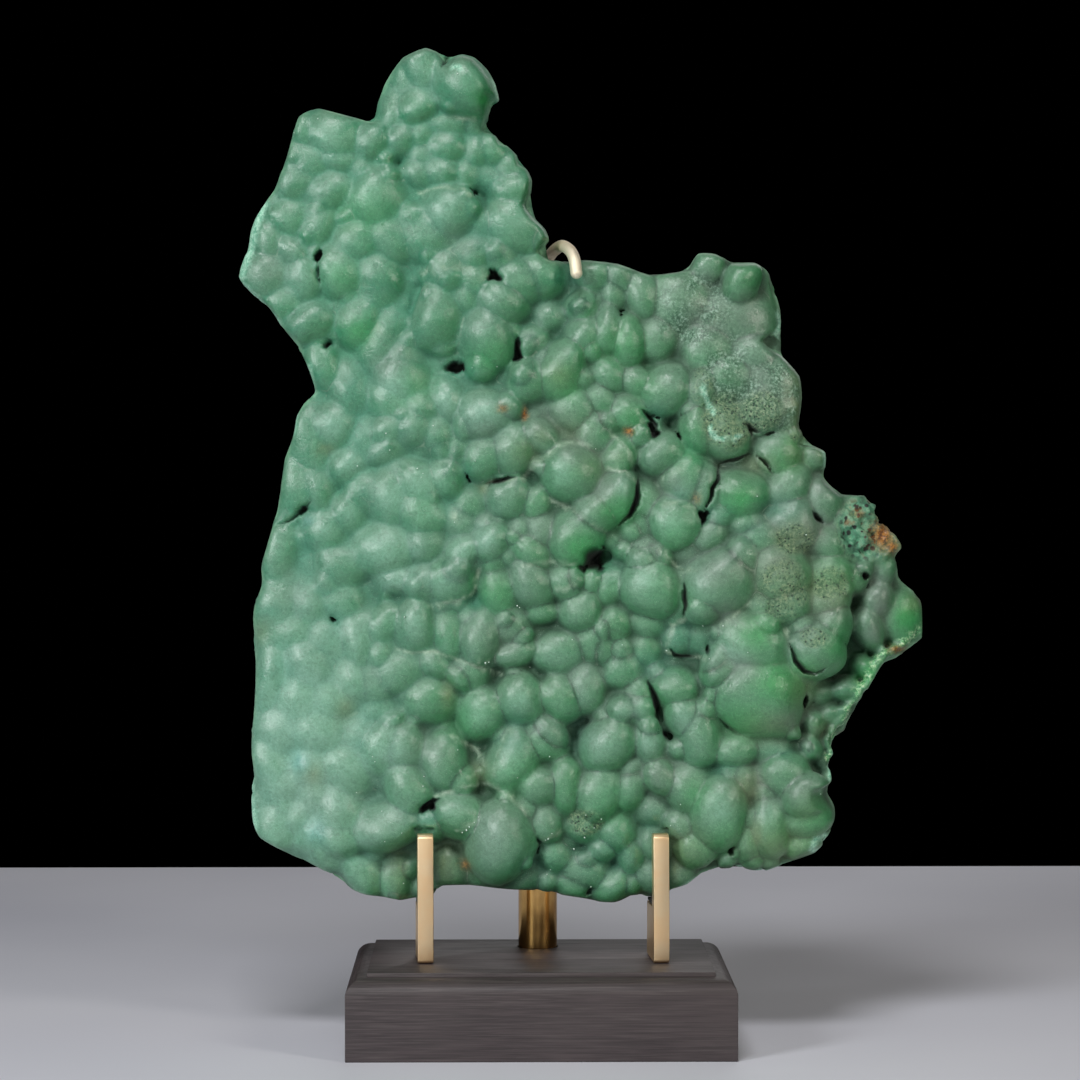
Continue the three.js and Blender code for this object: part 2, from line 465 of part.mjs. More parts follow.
// Base: a rectangular block with a quarter-round moulding and a low step round the top
function base() {
  const x = BASE_WIDTH / 2;
  const y = BASE_DEPTH / 2;
  const innerX = x - MOULDING_INSET;
  const innerY = y - MOULDING_INSET;
  const block = new THREE.ExtrudeGeometry(
    outlineShape([[-innerX, -innerY], [innerX, -innerY], [innerX, innerY], [-innerX, innerY]]),
    {
      depth: BASE_HEIGHT,
      bevelEnabled: true,
      bevelSize: MOULDING_INSET,
      bevelThickness: MOULDING_HEIGHT,
      bevelSegments: 6,
    },
  );
  block.translate(0, 0, -STEP_HEIGHT - MOULDING_HEIGHT);
  const moulded = solid(block).intersect(box(-x - 1, x + 1, -y - 1, y + 1, 0, BASE_HEIGHT));
  const step = box(-innerX, innerX, -innerY, innerY, BASE_HEIGHT - STEP_HEIGHT - 1, BASE_HEIGHT);
  const socket = rod(
    POST_X, POST_Y, BASE_HEIGHT - POST_SOCKET_DEPTH - FIT_GAP, BASE_HEIGHT + 1, POST_RADIUS + FIT_GAP,
  );
  const pinHoles = [LEFT_BRACKET_X, RIGHT_BRACKET_X].map((pinX) => rod(
    pinX, pinY(), BASE_HEIGHT - PIN_LENGTH - FIT_GAP, BASE_HEIGHT + 1, PIN_RADIUS + FIT_GAP, 24,
  ));
  const shape = moulded.add(step).subtract(joined([socket, ...pinHoles]));
  return piece('base', shape, new THREE.MeshStandardMaterial({ color: 0x3a3132, roughness: 0.35, metalness: 0 }));
}

// Brass
function brassMaterial() {
  return new THREE.MeshStandardMaterial({ color: 0xc79a4b, roughness: 0.22, metalness: 1 });
}

function post() {
  const shaft = rod(POST_X, POST_Y, BASE_HEIGHT - POST_SOCKET_DEPTH, POST_TOP, POST_RADIUS);
  const socket = rod(POST_X, POST_Y, POST_TOP - ROD_SOCKET_DEPTH - FIT_GAP, POST_TOP + 1, ROD_RADIUS + FIT_GAP);
  return piece('post', shaft.subtract(socket), brassMaterial());
}

// Rod that stands in the post, runs up behind the stone and hooks over its top edge
function spineRod() {
  const bendStart = 290;
  const shaft = rod(POST_X, POST_Y, POST_TOP - ROD_SOCKET_DEPTH, bendStart + 1, ROD_RADIUS, 16);
  const path = new THREE.CatmullRomCurve3([
    new THREE.Vector3(POST_X, POST_Y, bendStart), new THREE.Vector3(0.5, POST_Y - 1, 304),
    new THREE.Vector3(3, POST_Y - 6, 314), new THREE.Vector3(6.5, 8, 318.6),
    new THREE.Vector3(10.5, -6, 318.2), new THREE.Vector3(13.3, -13.5, 313.5), HOOK_TIP,
  ]);
  const sides = 16;
  const section = outlineShape(Array.from({ length: sides }, (_, i) => {
    const angle = i * 2 * Math.PI / sides;
    return [ROD_RADIUS * Math.cos(angle), ROD_RADIUS * Math.sin(angle)];
  }));
  const hook = solid(new THREE.ExtrudeGeometry(section, { steps: 18, extrudePath: path }));
  const tip = new THREE.SphereGeometry(ROD_RADIUS, 14, 8);
  tip.translate(HOOK_TIP.x, HOOK_TIP.y, HOOK_TIP.z);
  return piece('spine_rod', joined([shaft, hook, solid(tip)]), brassMaterial());
}

function pinY() {
  return (BRACKET_FRONT + BRACKET_BACK) / 2;
}

// Bar cut to a side profile of [y, z] points, turned by the feet's yaw about their pin
function bracketBar(x, profile, halfWidth = BAR_WIDTH / 2) {
  const geometry = new THREE.ExtrudeGeometry(outlineShape(profile), { depth: 2 * halfWidth, bevelEnabled: false });
  geometry.rotateX(Math.PI / 2);
  geometry.rotateZ(Math.PI / 2);
  geometry.translate(-halfWidth, -pinY(), 0);
  geometry.rotateZ(BRACKET_YAW);
  geometry.translate(x, pinY(), 0);
  return solid(geometry);
}

function bracket(name, x) {
  const foot = BASE_HEIGHT + FIT_GAP;
  const ease = 1.2;
  const bar = bracketBar(x, [
    [BRACKET_FRONT + ease, foot], [BRACKET_FRONT, foot + ease], [BRACKET_FRONT, LEDGE_Z],
    [BRACKET_FRONT + PRONG_LEAN, BRACKET_TOP - ease], [BRACKET_FRONT + PRONG_LEAN + ease, BRACKET_TOP],
    [BRACKET_FRONT + PRONG_LEAN + PRONG_THICKNESS - ease, BRACKET_TOP],
    [BRACKET_FRONT + PRONG_LEAN + PRONG_THICKNESS, BRACKET_TOP - ease],
    [BRACKET_FRONT + PRONG_THICKNESS, LEDGE_Z], [BRACKET_BACK - ease, LEDGE_Z],
    [BRACKET_BACK, LEDGE_Z - ease], [BRACKET_BACK, foot],
  ]);
  const pin = rod(x, pinY(), BASE_HEIGHT - PIN_LENGTH, foot + 2, PIN_RADIUS, 24);
  return piece(name, bar.add(pin), brassMaterial());
}

// Liner strip between each foot and the stone
function pad(name, x) {
  const innerY = BRACKET_FRONT + PRONG_THICKNESS + FIT_GAP;
  const lower = LEDGE_Z + FIT_GAP;
  const shape = bracketBar(x, [
    [innerY, lower], [innerY + PRONG_LEAN, BRACKET_TOP - 3], [innerY + PRONG_LEAN + PAD_THICKNESS, BRACKET_TOP - 3],
    [innerY + PAD_THICKNESS, lower + PAD_THICKNESS], [BRACKET_BACK - 1, lower + PAD_THICKNESS],
    [BRACKET_BACK - 1, lower],
  ], BAR_WIDTH / 2 - 0.2);
  return piece(name, shape, new THREE.MeshStandardMaterial({ color: 0x1d1a18, roughness: 0.95, metalness: 0 }));
}

const specimen = new THREE.Group();
specimen.name = 'malachite_specimen';
specimen.add(
  malachite(),
  base(),
  post(),
  spineRod(),
  bracket('bracket_left', LEFT_BRACKET_X),
  bracket('bracket_right', RIGHT_BRACKET_X),
  pad('pad_left', LEFT_BRACKET_X),
  pad('pad_right', RIGHT_BRACKET_X),
);

export default specimen;
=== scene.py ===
import math
import random

import bpy
import numpy as np
from mathutils import Euler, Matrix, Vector


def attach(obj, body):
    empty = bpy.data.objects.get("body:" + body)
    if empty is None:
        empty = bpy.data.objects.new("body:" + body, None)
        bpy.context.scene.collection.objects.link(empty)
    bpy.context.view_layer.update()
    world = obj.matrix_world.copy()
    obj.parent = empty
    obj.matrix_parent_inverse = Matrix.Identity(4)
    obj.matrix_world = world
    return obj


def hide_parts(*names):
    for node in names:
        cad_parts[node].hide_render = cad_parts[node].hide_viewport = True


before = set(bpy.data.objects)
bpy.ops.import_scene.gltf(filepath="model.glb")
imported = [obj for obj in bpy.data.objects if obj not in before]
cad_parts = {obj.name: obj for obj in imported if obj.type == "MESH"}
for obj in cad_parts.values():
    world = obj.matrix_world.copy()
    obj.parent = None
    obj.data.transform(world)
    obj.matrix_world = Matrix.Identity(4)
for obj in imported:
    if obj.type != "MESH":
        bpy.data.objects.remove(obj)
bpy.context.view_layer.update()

# Botryoidal malachite slab on a dark wooden base, held by two brass feet and a hooked brass rod.
# Sizes in the lists are millimetres, measured from the centre of the base's underside.

MM = 0.001

# Sizes of the stand
BASE_WIDTH = 152.4
BASE_DEPTH = 101.6
BASE_HEIGHT = 33.5
MOULDING_INSET = 8.2
MOULDING_HEIGHT = 6.4
MOULDING_STEPS = 10
STEP_HEIGHT = 1.5
FIT_GAP = 0.3
POST_RADIUS = 7.95
POST_X = -0.7
POST_Y = 25
POST_TOP = 112
POST_SOCKET_DEPTH = 12
ROD_RADIUS = 2.38
ROD_SOCKET_DEPTH = 24
BAR_WIDTH = 6.35
PRONG_THICKNESS = 6.35
BRACKET_FRONT = -21.7
BRACKET_BACK = 3.3
BRACKET_TOP = 84.8
PRONG_LEAN = 1.8
LEDGE_Z = 55.5
LEFT_BRACKET_X = -46.4
RIGHT_BRACKET_X = 47.2
BRACKET_YAW = math.radians(3.5)
FOOT_EASE = 0.8
PRONG_EASE = 1.4
PIN_RADIUS = 2
PIN_LENGTH = 10
PIN_Y = (BRACKET_FRONT + BRACKET_BACK) / 2
PAD_THICKNESS = 1.2
STONE_FOOT_Z = LEDGE_Z + PAD_THICKNESS + 2 * FIT_GAP

# How far each lump's whole body reaches past what shows of it, and how much more so on the quiet side
LUMP_GROWTH = 1.25
QUIET_GROWTH = 0.2
LUMP_DEPTH = 1.2
SMALL_GROWTH = 1.15
FILLER_GROWTH = 1.25
FILLER_TRIES = 2600
MATRIX_ROCKS = 60

# How far the ground between the lumps lies below the swells, and how much less so on the quiet side
GROUND_DROP = 4.6
QUIET_RISE = 2.8

# Depths of the stone's plate, and how it thins towards its rim
PLATE_HALF = 5
PLATE_FRONT = 4
PLATE_BACK = 8
FLAP_FRONT = 1
FLAP_BACK = 9
RIM_WIDTH = 9
EDGE_ROUNDING = 5
EDGE_HEIGHT = 9
RIM_FRONT = 2.5
RIM_BACK = 2
PIT_DEPTH = 8

# How finely the stone is grown, and how far its skin may reach
PLATE_VOXEL = 2.2
GROWTH_VOXEL = 0.9
TRIM_VOXEL = 0.85
STONE_TRIANGLES = 190000
SOFTENING_ROUNDS = 36
LEAST_REACH = (-120.7, -27.9, 55.5)
MOST_REACH = (154, 14.8, 397.9)

# Where a spot counts as part of the face
FACE_DEPTH = 3

# The table in metres, and the camera: its lens is measured in pixels of a frame so many pixels wide
TABLE_SIZE = 1.068
TABLE_THICKNESS = 0.02
SENSOR_WIDTH = 36
LENS_PIXELS = 3064
FRAME_PIXELS = 1080

main_outline = [
    (-112.5, 81.5), (-115.5, 87), (-116.4, 94), (-116, 102), (-115, 106), (-116.3, 120), (-115, 133),
    (-114.3, 148), (-115.4, 168), (-114.8, 175), (-111.5, 184), (-112.2, 190), (-107.3, 207), (-104.7, 217),
    (-102.5, 233), (-99, 243), (-97.5, 251), (-94.5, 256), (-90.2, 260.5), (-92.4, 269), (-97, 279),
    (-104, 287.5), (-108, 294), (-115, 300), (-120.8, 306.5), (-117, 318), (-115, 328), (-111, 335),
    (-106, 342), (-101.5, 354), (-99, 363), (-96.5, 370.5), (-90, 374), (-81, 372), (-71.5, 369.5),
    (-66.5, 368.5), (-65, 376), (-61.5, 385), (-55, 394), (-46, 398), (-40.5, 396), (-38, 391.8),
    (-36, 394), (-31, 395.5), (-26, 394), (-21.3, 389.5), (-18.4, 384.6), (-16.4, 377), (-19.3, 376),
    (-20.8, 371), (-22.8, 365), (-18, 363.2), (-15.8, 359.8), (-13.2, 359), (-9.4, 355.2), (-8.6, 351.6),
    (-5.6, 350), (-3.4, 345.6), (-3.9, 340), (-5.8, 335), (-2.4, 330.2), (1.8, 326), (3.5, 321.4),
    (-0.4, 316.8), (4, 313.3), (17, 313.5), (31, 312), (44, 307.5), (59, 309.5), (63, 316), (70, 316),
    (77, 312.5), (86, 312.5), (92, 308.5), (96.5, 294), (96.5, 286), (89.4, 281), (96.5, 275.5), (104, 267),
    (105, 258), (103.6, 247), (105.3, 243.5), (103.8, 240), (110, 239), (114.5, 236.5), (114.5, 230),
    (113.5, 226.5), (121, 219.5), (130, 219), (133.5, 214), (136, 209), (142.5, 203), (144.8, 198.5),
    (141, 193), (131, 191), (128, 180), (123.5, 164), (120, 155), (112, 148), (107, 140), (106, 130),
    (109, 121), (116, 115.5), (115.5, 110), (116.4, 104.5), (115.3, 100), (118.5, 94), (118.7, 88),
    (116.2, 81.5), (110.5, 75.5), (102, 72.3), (94, 69.3), (88, 67.3), (81, 69), (72, 69), (65, 67.3),
    (59, 62.7), (51.8, 60.3), (50.8, STONE_FOOT_Z), (43.3, STONE_FOOT_Z), (37, 57.6), (30, 55.4),
    (24, 55.6), (18, 57), (8, 58.6), (-2, 60.3), (-14, 60.8), (-28, 62.5), (-41.5, 62), (-43, STONE_FOOT_Z),
    (-50, STONE_FOOT_Z), (-56, 56.4), (-62, 57.6), (-70, 58.6), (-76.5, 60.8), (-79.5, 63.6), (-91, 70.5),
    (-98, 73.2),
]
flap_outline = [
    (100, 125), (104, 150), (112, 175), (120, 198), (131, 198), (142, 194.5), (145, 185), (151, 180),
    (154.5, 174.5), (156, 168), (156, 164), (149.5, 158), (143, 153.5), (137.5, 151), (132.8, 145),
    (129.2, 137.5), (125.7, 130.5), (122.5, 124), (118.5, 121), (116, 113), (108, 112),
]

# Broad swells under the lumps: centre x, centre z, half width, half height, how far the top stands forward
swells = [
    (60, 225, 62, 62, 13.5), (70, 160, 62, 55, 16), (92, 165, 38, 45, 18.5), (100, 95, 24, 28, 16.5),
    (0, 100, 70, 44, 11.5), (72, 95, 26, 30, 14.5), (-10, 190, 62, 80, 12.5), (-20, 275, 48, 50, 12.5),
    (-60, 115, 40, 45, 10.5), (-70, 315, 45, 50, 9.5), (-35, 365, 32, 32, 10), (118, 200, 20, 26, 11),
]

# Lumps, by region: centre x, centre z, half width, half height, how far the top stands forward
crown_lumps = [
    (-45.7, 390, 8, 8.5, 13.5), (-49.6, 375.3, 6.8, 6.8, 13.5), (-58, 374, 6.5, 10, 10),
    (-54, 385, 6, 8, 10.5), (-28.6, 382.4, 10, 10, 20), (-37, 366.3, 7.5, 5, 12),
    (-37.1, 356.9, 6.4, 4.8, 13), (-39.1, 348.3, 7, 4.8, 12.5), (-54.2, 360.8, 4.8, 5.5, 11.5),
    (-47, 362, 4, 5, 11), (-48.3, 347.6, 4.4, 5, 11.5), (-25.9, 357, 4.4, 5.4, 11.5),
    (-47, 354.5, 4, 4, 11), (-28, 366.5, 4.5, 4.5, 11), (-19, 359, 6, 6, 11), (-11.6, 352, 6.2, 6.2, 10.5),
    (-21, 347, 6, 6, 9.5), (-10.5, 341, 8, 8, 12.5), (-28.5, 347, 5, 6, 11),
]
upper_left_lumps = [
    (-94, 365.5, 5, 6.5, 9.5), (-81.6, 364.3, 9, 8, 12), (-66.5, 360.5, 7, 6.8, 11.5),
    (-81, 354.5, 7, 4.6, 10.5), (-93, 353, 6, 6.5, 9.5), (-97, 345, 7, 7.5, 9.5), (-83.9, 341, 9, 8.2, 12),
    (-66.3, 337.5, 11, 11, 14.5), (-73, 350, 6, 5, 10.5), (-98, 331, 8, 7, 9.5), (-86, 327, 7, 7, 10.5),
    (-71.4, 319.8, 7.2, 7.2, 12.5), (-59, 322, 9, 9, 12.5), (-99.2, 316.5, 6.5, 5.5, 9.5),
    (-108.5, 320, 6.5, 8, 8), (-110, 307.5, 8, 8, 8.5), (-95.8, 307, 7.4, 9.5, 10.5),
    (-80.8, 308.5, 8, 8.8, 13), (-65.5, 307, 8.2, 9.5, 12), (-102, 297, 7, 6, 8.5),
    (-91.5, 288, 8.8, 8, 11), (-72.2, 288.6, 7.5, 8.6, 12.5), (-60.5, 285, 8, 10.5, 11.5),
    (-86, 271, 6, 8, 9), (-54, 266, 10, 9.5, 14),
]
upper_centre_lumps = [
    (-36.8, 332, 10, 8.8, 16.5), (-43, 325, 14, 12, 14.5), (-10, 326.5, 12, 10.5, 15),
    (-24, 326, 6.5, 7, 12), (-26, 314.5, 6.5, 6.5, 14), (-37.5, 310, 7, 9, 14.5), (-16, 313.5, 6, 6, 13.5),
    (-8, 305, 9, 8, 14.5), (-26, 303.5, 6.5, 6, 14), (-41.6, 289.8, 7.8, 11.5, 16.5),
    (-15.6, 296.5, 9.6, 7.8, 16), (-30, 297, 5.5, 6, 13.5), (-22, 282, 10.4, 10.4, 17.5),
    (-31, 283, 5, 7, 13), (-3.5, 281, 5.5, 6, 13.5), (3, 291, 6, 6, 11),
]
under_hook_lumps = [
    (21.5, 306.5, 6.5, 6.5, 11.5), (31.5, 305.5, 6.5, 6.5, 12), (29, 299, 6, 6, 11),
    (41.5, 299, 7.5, 8, 13), (15, 294, 5.5, 6, 12.5), (26.6, 285, 6, 9, 14), (35.6, 281.6, 5.4, 9, 15),
    (46, 283, 8, 10, 12.5), (16.5, 282, 8, 8, 13.5), (9, 267.5, 8.5, 11.5, 17.5), (-4, 265.5, 8.5, 9, 16),
    (28.5, 266.5, 7, 7, 15), (24.5, 256.5, 6, 6.5, 15), (38.5, 265.5, 6, 6, 15),
    (49.5, 261.5, 9.5, 10.5, 18), (35, 252.5, 7, 7, 16.5), (13.5, 253, 10, 7.5, 16), (41, 245, 7.5, 6, 16),
]
top_right_lumps = [
    (67, 311.5, 6.5, 6, 11.5), (82, 305, 6.8, 6.8, 15.5), (56, 297, 15, 13, 12), (76, 290, 18, 15, 12.4),
    (91, 264, 15, 17, 14.6), (66, 275, 12, 13, 13.4), (75.5, 264, 9, 9, 14.8), (90, 253, 11, 9.5, 16.5),
    (84, 276, 9, 8, 13.8), (97, 252, 8, 8, 14), (65, 260, 7.5, 8, 16), (73, 245, 11, 10.5, 19),
    (63, 245, 7.5, 9, 18.5),
]
left_lumps = [
    (-82, 248, 8, 8, 10.5), (-91, 240, 8, 13, 9), (-76, 232.5, 7, 7, 11), (-97, 223, 8, 14, 8.5),
    (-76, 212.5, 6, 6.5, 10.5), (-86, 205, 8, 8, 10), (-104.5, 197, 7.5, 10, 8.5), (-80, 191, 8, 7.5, 10.5),
    (-92, 175, 7, 7.5, 10), (-105, 176, 8.5, 11, 9), (-79, 176.5, 6.5, 6, 10.5), (-100, 163, 10, 9, 9.5),
    (-85, 160.5, 9, 8, 10), (-93, 149.5, 9, 8, 11), (-108, 146, 6.5, 12, 8.5), (-95, 136.5, 9.5, 8.5, 11),
    (-83, 138, 9, 7.5, 11.5), (-87, 125, 10.5, 9.5, 12), (-102, 126.5, 9, 9, 10), (-108.5, 113, 7.5, 11, 9),
    (-92.5, 109, 8, 8, 11), (-104.5, 102, 8.5, 7.5, 9.5), (-104, 87, 8.5, 9, 10), (-92, 97.5, 6, 6, 10.5),
    (-89.5, 83, 7.5, 7.5, 11.5), (-80.5, 92, 9, 9, 13.5), (-79, 82, 7.5, 7.5, 14), (-78, 109, 10, 10, 12.5),
    (-86, 70.5, 6.5, 4.5, 8.5), (-70.5, 67, 8, 7.5, 10.5), (-57.5, 65.5, 6, 8, 10),
]
middle_left_lumps = [
    (-61.5, 244.5, 7, 7, 12.5), (-51.5, 246.5, 7, 8, 13.5), (-48.5, 254.5, 5.5, 5, 14),
    (-37, 257, 6.5, 8, 14.5), (-42, 244, 6.5, 6.5, 14), (-61, 235, 7, 6, 12), (-59, 217.5, 9, 8.5, 13.5),
    (-69.5, 220, 6.5, 7, 11.5), (-37, 228.5, 7, 7.5, 14.5), (-48, 223, 8, 8, 15), (-46, 212, 8.5, 7, 15),
    (-28, 217, 6, 7, 13), (-62, 198, 11.5, 9.5, 14), (-45, 201, 7.5, 7.5, 14.5), (-57, 186, 8.5, 6.5, 13),
    (-46.5, 184, 7, 7, 15), (-36, 185.5, 8.5, 8.5, 16.5), (-49, 167, 7.5, 10.5, 15.5),
    (-36, 165, 6, 10.5, 14.5), (-71.5, 163, 8, 10.5, 12), (-61.5, 167.5, 5.5, 6.5, 12.5),
    (-56, 148.5, 9, 8, 13), (-74.5, 147.5, 8.5, 8, 12), (-42, 151, 6, 6, 13.5), (-46, 136, 10, 8.5, 14),
    (-66.5, 134, 7, 7, 11.5), (-33, 147, 5.5, 5.5, 14.5),
]
centre_lumps = [
    (-22, 251.5, 9.5, 9.5, 18), (-14, 254.5, 6, 6, 16.5), (-29, 248, 5.5, 6, 16),
    (-21.5, 235, 7.5, 8, 15.5), (-11.5, 236.5, 7.5, 9, 16.5), (-1, 242.5, 7, 6.5, 16.5),
    (-13, 217.5, 8.5, 8, 16.5), (-1, 215.5, 5.5, 6.5, 15.5), (1.5, 206.5, 7, 7, 16),
    (-7.5, 206, 5, 5.5, 14.5), (12.5, 229, 12, 12, 21), (30, 219, 9.5, 11, 21.5), (22, 212, 8, 9, 20.5),
    (31, 235, 7, 7.5, 18), (15, 203.5, 10.5, 10.5, 20), (48.5, 235, 8.5, 8.5, 19), (57.5, 226, 9, 10, 18.5),
    (65, 222, 6.5, 10, 18), (53.5, 208.5, 9.5, 9.5, 20.5), (41, 209, 6.5, 14, 15.5),
    (59, 198.5, 8, 7.5, 17), (66.5, 203.5, 7.5, 7, 18), (79, 220, 10.5, 10, 20.5), (71, 211.5, 6, 5.5, 17),
    (82, 207, 8, 6.5, 18), (-31, 197, 6, 6.5, 16), (-20, 199.5, 8, 9, 17.5), (-3, 197, 7.5, 7, 16.5),
    (-18, 189, 6, 5.5, 14), (-16.5, 181, 7.5, 7.5, 15.5), (-3.5, 184.5, 8, 8.5, 17.5),
    (10, 187, 7.5, 6.5, 16.5), (-24, 163.5, 7, 10.5, 17), (-12.5, 168.5, 6.5, 7.5, 14.5),
    (-9.5, 156, 7.5, 6, 14.5), (0, 174, 6.5, 6.5, 14), (29, 182, 7, 8, 15), (15, 174, 9, 11, 17),
    (45, 182.5, 11.5, 11.5, 22), (30, 167, 7, 7, 16), (43, 168.5, 7, 6, 15.5), (54, 173, 6, 7, 15.5),
    (8, 155.5, 11, 8, 15), (43, 158, 6, 6, 14.5), (34, 150, 8.5, 8, 15.5), (25, 158, 6, 6, 14.5),
]
right_lumps = [
    (94.5, 235.5, 9, 9, 16), (109, 233.5, 5.5, 6, 11), (98.5, 222, 9.5, 8.5, 16.5), (113, 216, 7.5, 8, 15),
    (101, 207.5, 11, 11, 19), (88, 200.5, 9.5, 9.5, 19), (114, 201.5, 8.5, 7.5, 15.5),
    (72, 184.5, 14, 13.5, 25), (65, 174.5, 7.5, 6.5, 22), (79, 192, 9, 9, 22), (95, 187, 12, 12, 22.5),
    (99, 177, 9, 8, 22), (115.5, 187.5, 9, 8.5, 18), (124.5, 186.5, 6, 7.5, 14), (114.5, 176.5, 9, 8.5, 20),
    (54.8, 163, 5.2, 6, 15.5), (62.5, 162.5, 5.2, 6.5, 16), (84, 160, 15, 13.5, 24.5),
    (88, 140, 16.8, 16, 26.8), (108.5, 158.5, 11, 11, 24), (115.5, 167, 8.5, 9, 21),
    (71.5, 149, 7.5, 6.5, 21.5), (54, 143.5, 8.5, 8.5, 19.5), (57, 131, 6.5, 7.5, 20),
    (64, 123.5, 8.5, 10.5, 21.5), (106, 142, 5.5, 8, 15),
]
lower_lumps = [
    (-24, 133.5, 9.5, 9, 15), (-7, 137, 9.5, 9.5, 17), (9, 139, 7.5, 7.5, 16), (19, 143, 7.5, 8.5, 15.5),
    (36, 134, 9, 7.5, 17), (40, 142, 6.5, 6.5, 16), (-54, 116.5, 8, 7.5, 15), (-62, 118, 9, 10, 14.5),
    (-37, 113, 8.5, 11, 16), (-30, 107.5, 6.5, 7, 15), (-52.5, 102, 9, 10, 16.5), (-62, 88, 11, 9.5, 16.5),
    (-33.5, 91.5, 11, 10, 18), (-11.5, 112.5, 9, 13, 18), (-1, 101, 6.5, 6.5, 16.5),
    (-16, 81.5, 13, 13.5, 23), (2, 88, 6.5, 6.5, 15.5), (3.5, 125, 6.5, 7, 15.5), (10.5, 104, 7.5, 11, 17),
    (-35, 70, 8, 8.5, 10), (-6, 66, 7, 6, 10.5), (6, 76, 7, 8, 11.5), (13, 64, 6, 6, 10.5),
    (26.5, 119.5, 10, 11, 19.5), (43, 119, 6.5, 8, 18.5), (24, 101.5, 8, 10.5, 18), (36.5, 102, 5.5, 8, 16),
    (18, 88.5, 7.5, 6.5, 13.5), (48, 107, 7, 6.5, 19), (59, 104, 9, 9.5, 19.5), (46, 93, 7, 6.5, 14),
    (31, 84, 8, 8.5, 13.5), (36, 74, 6.5, 8, 11.5), (28, 62.5, 9, 7, 10.5), (71, 93, 10.5, 14, 25),
    (56, 88, 6.5, 6.5, 18), (62, 80.5, 8, 8.5, 19), (56.5, 68.5, 6, 6.5, 12), (78, 118, 8.5, 6.5, 20),
    (80, 104, 7, 7.5, 19), (96, 107.5, 8.6, 8.4, 21.5), (105.4, 100.4, 7.4, 7.4, 25.5),
    (107, 91, 9, 7.5, 20.5), (92, 88, 7.4, 12, 22.5), (83, 82, 6, 10, 19), (105, 80, 7, 5.5, 17),
]
broad_lumps = [
    (-66, 304, 8, 13, 11.3), (-62, 281, 11, 13, 11.5), (-53, 272, 8, 8, 12.5), (-28, 317, 11, 6, 13.5),
    (-1, 308, 9, 9, 13), (-76, 262, 9, 12, 9.8), (-70, 243, 8, 10, 10.5), (-90, 222, 8, 12, 9.5),
    (-72, 125, 8, 9, 11.5), (-66, 146, 9, 9, 12), (-28, 150, 9, 9, 13.5), (0, 120, 11, 10, 14.5),
    (20, 160, 9, 9, 14.5), (42, 215, 9, 10, 16), (44, 198, 9, 8, 16.5), (22, 245, 8, 8, 15.5),
    (-32, 240, 8, 8, 13.5), (-32, 210, 8, 8, 13.5), (-60, 258, 9, 9, 12.5), (16, 70, 9, 9, 11.5),
    (48, 80, 8, 9, 12.5), (45, 66, 9, 7, 11), (-45, 88, 8, 9, 13.5), (-20, 70, 9, 7, 11.5),
    (90, 118, 9, 8, 17.5),
]
all_lumps = (
    crown_lumps + upper_left_lumps + upper_centre_lumps + under_hook_lumps + top_right_lumps + left_lumps
    + middle_left_lumps + centre_lumps + right_lumps + lower_lumps + broad_lumps
)

# Deeper lumps beside the flap, reaching back into it
deep_lumps = [
    (136.8, 188.5, 6, 7.5, 8.5), (135.5, 177, 7.5, 8.5, 10.5), (132.5, 165.5, 8, 9, 12),
    (145, 171, 9.5, 10.5, 6.5), (129, 150.5, 6, 5, 11.5), (121.5, 141.5, 5.4, 6.2, 13),
    (113, 139, 6.6, 6.6, 12.5), (110.8, 128, 6.4, 6.4, 14), (117.5, 131, 5, 5, 11.5),
    (106.5, 119, 7, 7, 15.5), (127, 212, 7.5, 7.5, 10), (126, 202, 8, 8, 11), (136, 203, 7, 6, 8),
]

